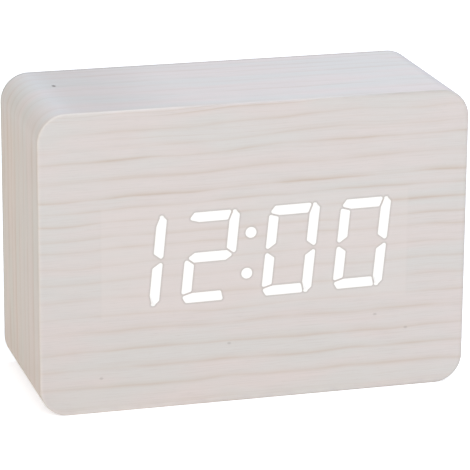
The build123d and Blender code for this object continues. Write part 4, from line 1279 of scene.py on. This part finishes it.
@dataclass
class ContactSprings:
    """Conical springs that press the cells: a round wire carried along a narrowing coil."""

    low_x: float = -18.6
    high_x: float = 30.6
    axis_y: float = 11.25
    middle_z: float = 35.0
    pitch: float = 11.0
    length: float = 4.7
    wire: float = 0.6
    turns: int = 3
    base_radius: float = 3.6
    tip_radius: float = 2.6
    steps: int = 40
    sides: int = 12

    def coil(self, surface: Surface, root: float, toward: float, row: float) -> None:
        """One spring: the wire's circle lies across the coil's tangent.

        The centre line turns about the cell's axis while its radius falls and its reach
        grows evenly.

        Args:
            surface: Surface to add to.
            root: Place of the plate along X.
            toward: Direction from the plate to the cell.
            row: Height of the cell over the middle one.
        """
        share = np.linspace(0, 1, self.turns * self.steps + 1)
        turned = circle(2 * math.pi * self.turns * share)
        radial = np.insert(turned, 0, 0.0, axis=1)
        radius = self.base_radius + (self.tip_radius - self.base_radius) * share
        line = radial * radius[:, None] + (0.0, self.axis_y, self.middle_z + row)
        line[:, 0] += root + toward * (self.wire / 2 + (self.length - self.wire) * share)
        tangent = np.gradient(line, axis=0)
        tangent /= np.linalg.norm(tangent, axis=1, keepdims=True)
        across = np.cross(tangent, radial)
        across /= np.linalg.norm(across, axis=1, keepdims=True)
        square = np.cross(across, tangent)
        spin = circle(np.linspace(0, 2 * math.pi, self.sides, endpoint=False))
        ring = spin[:, :1] * square[:, None] + spin[:, 1:] * across[:, None]
        numbers = surface.add(line[:, None] + ring * self.wire / 2)
        surface.skin(numbers, loop=True)
        surface.cap(numbers[0][::-1])
        surface.cap(numbers[-1])

    def build(self, material: bpy.types.Material) -> None:
        """Makes the three springs as one piece.

        Args:
            material: Material of the wire.
        """
        surface = Surface("coiled_springs")
        self.coil(surface, self.high_x, -1, -self.pitch)
        self.coil(surface, self.low_x, 1, 0)
        self.coil(surface, self.high_x, -1, self.pitch)
        surface.make("contact_nickel", material, "contact_springs")


@dataclass
class Finishes:
    """Finishes of the nodes that keep their own shape."""

    springs: ContactSprings
    nub: float = 0.9

    def shared(self) -> dict[str, Finish]:
        """Finish for each slot."""
        smooth = {"relief": 0.004, "tone": 0.03}
        return {
            "fibreboard": Fibreboard(),
            "white_veneer": Veneer("rear_veneer", seed=21.0),
            "diffuser_film": Moulded(
                "diffuser_film", paint(238, 238, 236), 0.45, grain=8.0, clear=0.2, **smooth
            ),
            "reflector_plastic": Moulded(
                "reflector_white", paint(242, 242, 240), 0.4, grain=6.0, **smooth
            ),
            "led_package": LedPackage(),
            "circuit_board": SolderMask(),
            "chip_package": Moulded(
                "black_package", paint(38, 38, 40), 0.55, grain=7.0, relief=0.01, tone=0.15
            ),
            "screw_steel": Plated("screw_plating", paint(188, 190, 194), 0.32, EVEN_BRUSHING),
            "bright_steel": Plated("tinned_sheet", paint(214, 214, 212), 0.28),
            "panel_plastic": Moulded(
                "panel_plastic", paint(226, 223, 218), 0.52, grain=3.2, relief=0.02, tone=0.035
            ),
            "key_plastic": Moulded("key_plastic", paint(126, 126, 128), 0.42, relief=0.008),
            "contact_nickel": Plated("nickel_plating", NICKEL, 0.22),
            "lead_red": Insulation("red_insulation", paint(176, 34, 30)),
            "lead_black": Insulation("black_insulation", paint(36, 36, 38)),
            "socket_plastic": Moulded(
                "ivory_nylon", paint(232, 226, 208), 0.45, relief=0.006, tone=0.05
            ),
            "ribbon_jacket": Insulation("flat_cable", paint(150, 150, 152), ribs=1.0),
        }

    def cells(self) -> dict[str, CellSleeve]:
        """Sleeve of each cell, measured from its flat end towards its nub."""
        from_high = self.springs.low_x + self.nub + CellSleeve.length
        from_low = self.springs.low_x + self.springs.length
        return {
            "battery_bottom": CellSleeve("sleeve_bottom", from_high, -1.0),
            "battery_middle": CellSleeve("sleeve_middle", from_low, 1.0),
            "battery_top": CellSleeve("sleeve_top", from_high, -1.0),
        }

    def dress(self) -> None:
        """Gives every node that keeps its shape its finish; cells have their own, others by slot."""
        by_slot = {slot: finish.make() for slot, finish in self.shared().items()}
        by_node = {node: sleeve.make() for node, sleeve in self.cells().items()}
        for part in frame["record"]["subparts"]:
            node = part["node"]
            if node in Surface.stood_for:
                continue
            material = by_node[node] if node in by_node else by_slot[part["material_slot"]]
            mesh = frame["nodes"][node].data
            mesh.materials.clear()
            mesh.materials.append(material)
            LOG.info("%s: %s", node, material.name)


@dataclass(frozen=True)
class Lamp:
    """Square soft lamp, with its place and side in metres and its power in watts."""

    name: str
    spot: tuple[float, float, float]
    size: float
    power: float
    tint: Colour

    def build(self, aim: Vector) -> None:
        """Hangs the lamp so that it faces a point.

        Args:
            aim: The point in metres.
        """
        data = bpy.data.lights.new(self.name, "AREA")
        data.size, data.energy, data.color = self.size, self.power, self.tint[:3]
        lamp = bpy.data.objects.new(self.name, data)
        lamp.location = self.spot
        lamp.rotation_euler = (aim - Vector(self.spot)).to_track_quat("-Z", "Y").to_euler()
        bpy.context.scene.collection.objects.link(lamp)


@dataclass
class Studio:
    """Pale floor, soft lamps and the camera of the photograph."""

    azimuth: float = -15.954
    elevation: float = 16.929
    roll: float = 0.368
    aim_x: float = 0.697
    aim_z: float = -1.656
    middle: float = 35.0
    distance: float = 696.42
    focal: float = 3009.1
    frame_pixels: float = 470.0
    sensor: float = 36.0
    near: float = 0.01
    floor_size: float = 6.0
    floor: Colour = paint(247, 245, 241)
    floor_roughness: float = 0.9
    floor_glow: Colour = (0.54, 0.56, 0.6, 1.0)
    far: Span = (200.0, 900.0)
    far_glow: float = 1.5
    ambient: float = 0.31
    lamps: tuple[Lamp, ...] = (
        Lamp("lamp_top", (0.3, 0.05, 0.55), 0.5, 1.9, paint(213, 233, 255)),
        Lamp("lamp_front", (0.06, -0.85, 0.8), 0.9, 6.4, paint(252, 253, 254)),
        Lamp("lamp_left", (-1.1, -0.3, 0.4), 0.8, 3.35, paint(255, 241, 214)),
    )

    def camera(self) -> None:
        """Camera fitted to the edges of the clock in the photograph."""
        turn, lift, roll = (math.radians(part) for part in (self.azimuth, self.elevation, self.roll))
        level = Vector((math.sin(turn), -math.cos(turn), 0)) * math.cos(lift)
        back = level + Vector((0, 0, math.sin(lift)))
        right = Vector((math.cos(turn), math.sin(turn), 0))
        up = back.cross(right)
        across = right * math.cos(roll) + up * math.sin(roll)
        upward = up * math.cos(roll) - right * math.sin(roll)
        target = across * self.aim_x + upward * self.aim_z + Vector((0, 0, self.middle))
        spot = Matrix.Translation((target + back * self.distance) * MM)
        data = bpy.data.cameras.new("photograph")
        data.sensor_width = self.sensor
        data.lens = self.focal * self.sensor / self.frame_pixels
        data.clip_start = self.near
        camera = bpy.data.objects.new("photograph", data)
        camera.matrix_world = spot @ Matrix((across, upward, back)).transposed().to_4x4()
        bpy.context.scene.collection.objects.link(camera)
        bpy.context.scene.camera = camera

    def world(self) -> None:
        """Even light from all round, seen as white by the camera and in gloss."""
        bpy.context.scene.world = bpy.data.worlds.new("studio")
        graph = Graph(bpy.context.scene.world, "Background")
        graph.set("Color", WHITE)
        graph.set("Strength", graph.seen().step(0.0, 1.0, self.ambient, 1.0))

    def ground(self) -> None:
        """Pale floor that keeps the shadow; what the camera sees of it is lifted to white.

        The lift grows with the distance from the clock, where less lamp light falls.
        """
        half = self.floor_size / 2
        mesh = bpy.data.meshes.new("floor")
        corners = [(-half, -half, 0), (half, -half, 0), (half, half, 0), (-half, half, 0)]
        mesh.from_pydata(corners, [], [(0, 1, 2, 3)])
        graph = Graph(bpy.data.materials.new("floor"))
        x, y, _ = graph.axes(Place.SOLID)
        reach = graph.math("SQRT", x * x + y * y)
        graph.set("Base Color", self.floor)
        graph.set("Roughness", self.floor_roughness)
        graph.set("Specular IOR Level", 0.0)
        graph.set("Emission Color", self.floor_glow)
        graph.set("Emission Strength", graph.seen() * reach.step(*self.far, 1.0, self.far_glow))
        mesh.materials.append(graph.owner)
        floor = bpy.data.objects.new("floor", mesh)
        bpy.context.scene.collection.objects.link(floor)

    def build(self) -> None:
        """Sets the camera, the floor and the light."""
        self.camera()
        self.world()
        self.ground()
        for lamp in self.lamps:
            lamp.build(Vector((0, 0, self.middle * MM)))
        bpy.context.scene.view_settings.view_transform = "Standard"


def main() -> None:
    """Builds the pieces in order, dresses the nodes and sets the studio."""
    logging.basicConfig(level=logging.INFO, format="%(name)s %(message)s")
    Studio().build()
    display = Display()
    case = Case()
    case.front_sheet(display, DisplayVeneer().make())
    case.edge_strip(EdgeVeneer().make())
    display.build(LitSegment().make())
    springs = ContactSprings()
    springs.build(Plated("spring_wire", NICKEL, 0.22, EVEN_BRUSHING).make())
    Finishes(springs).dress()


if __name__ == "__main__":
    main()
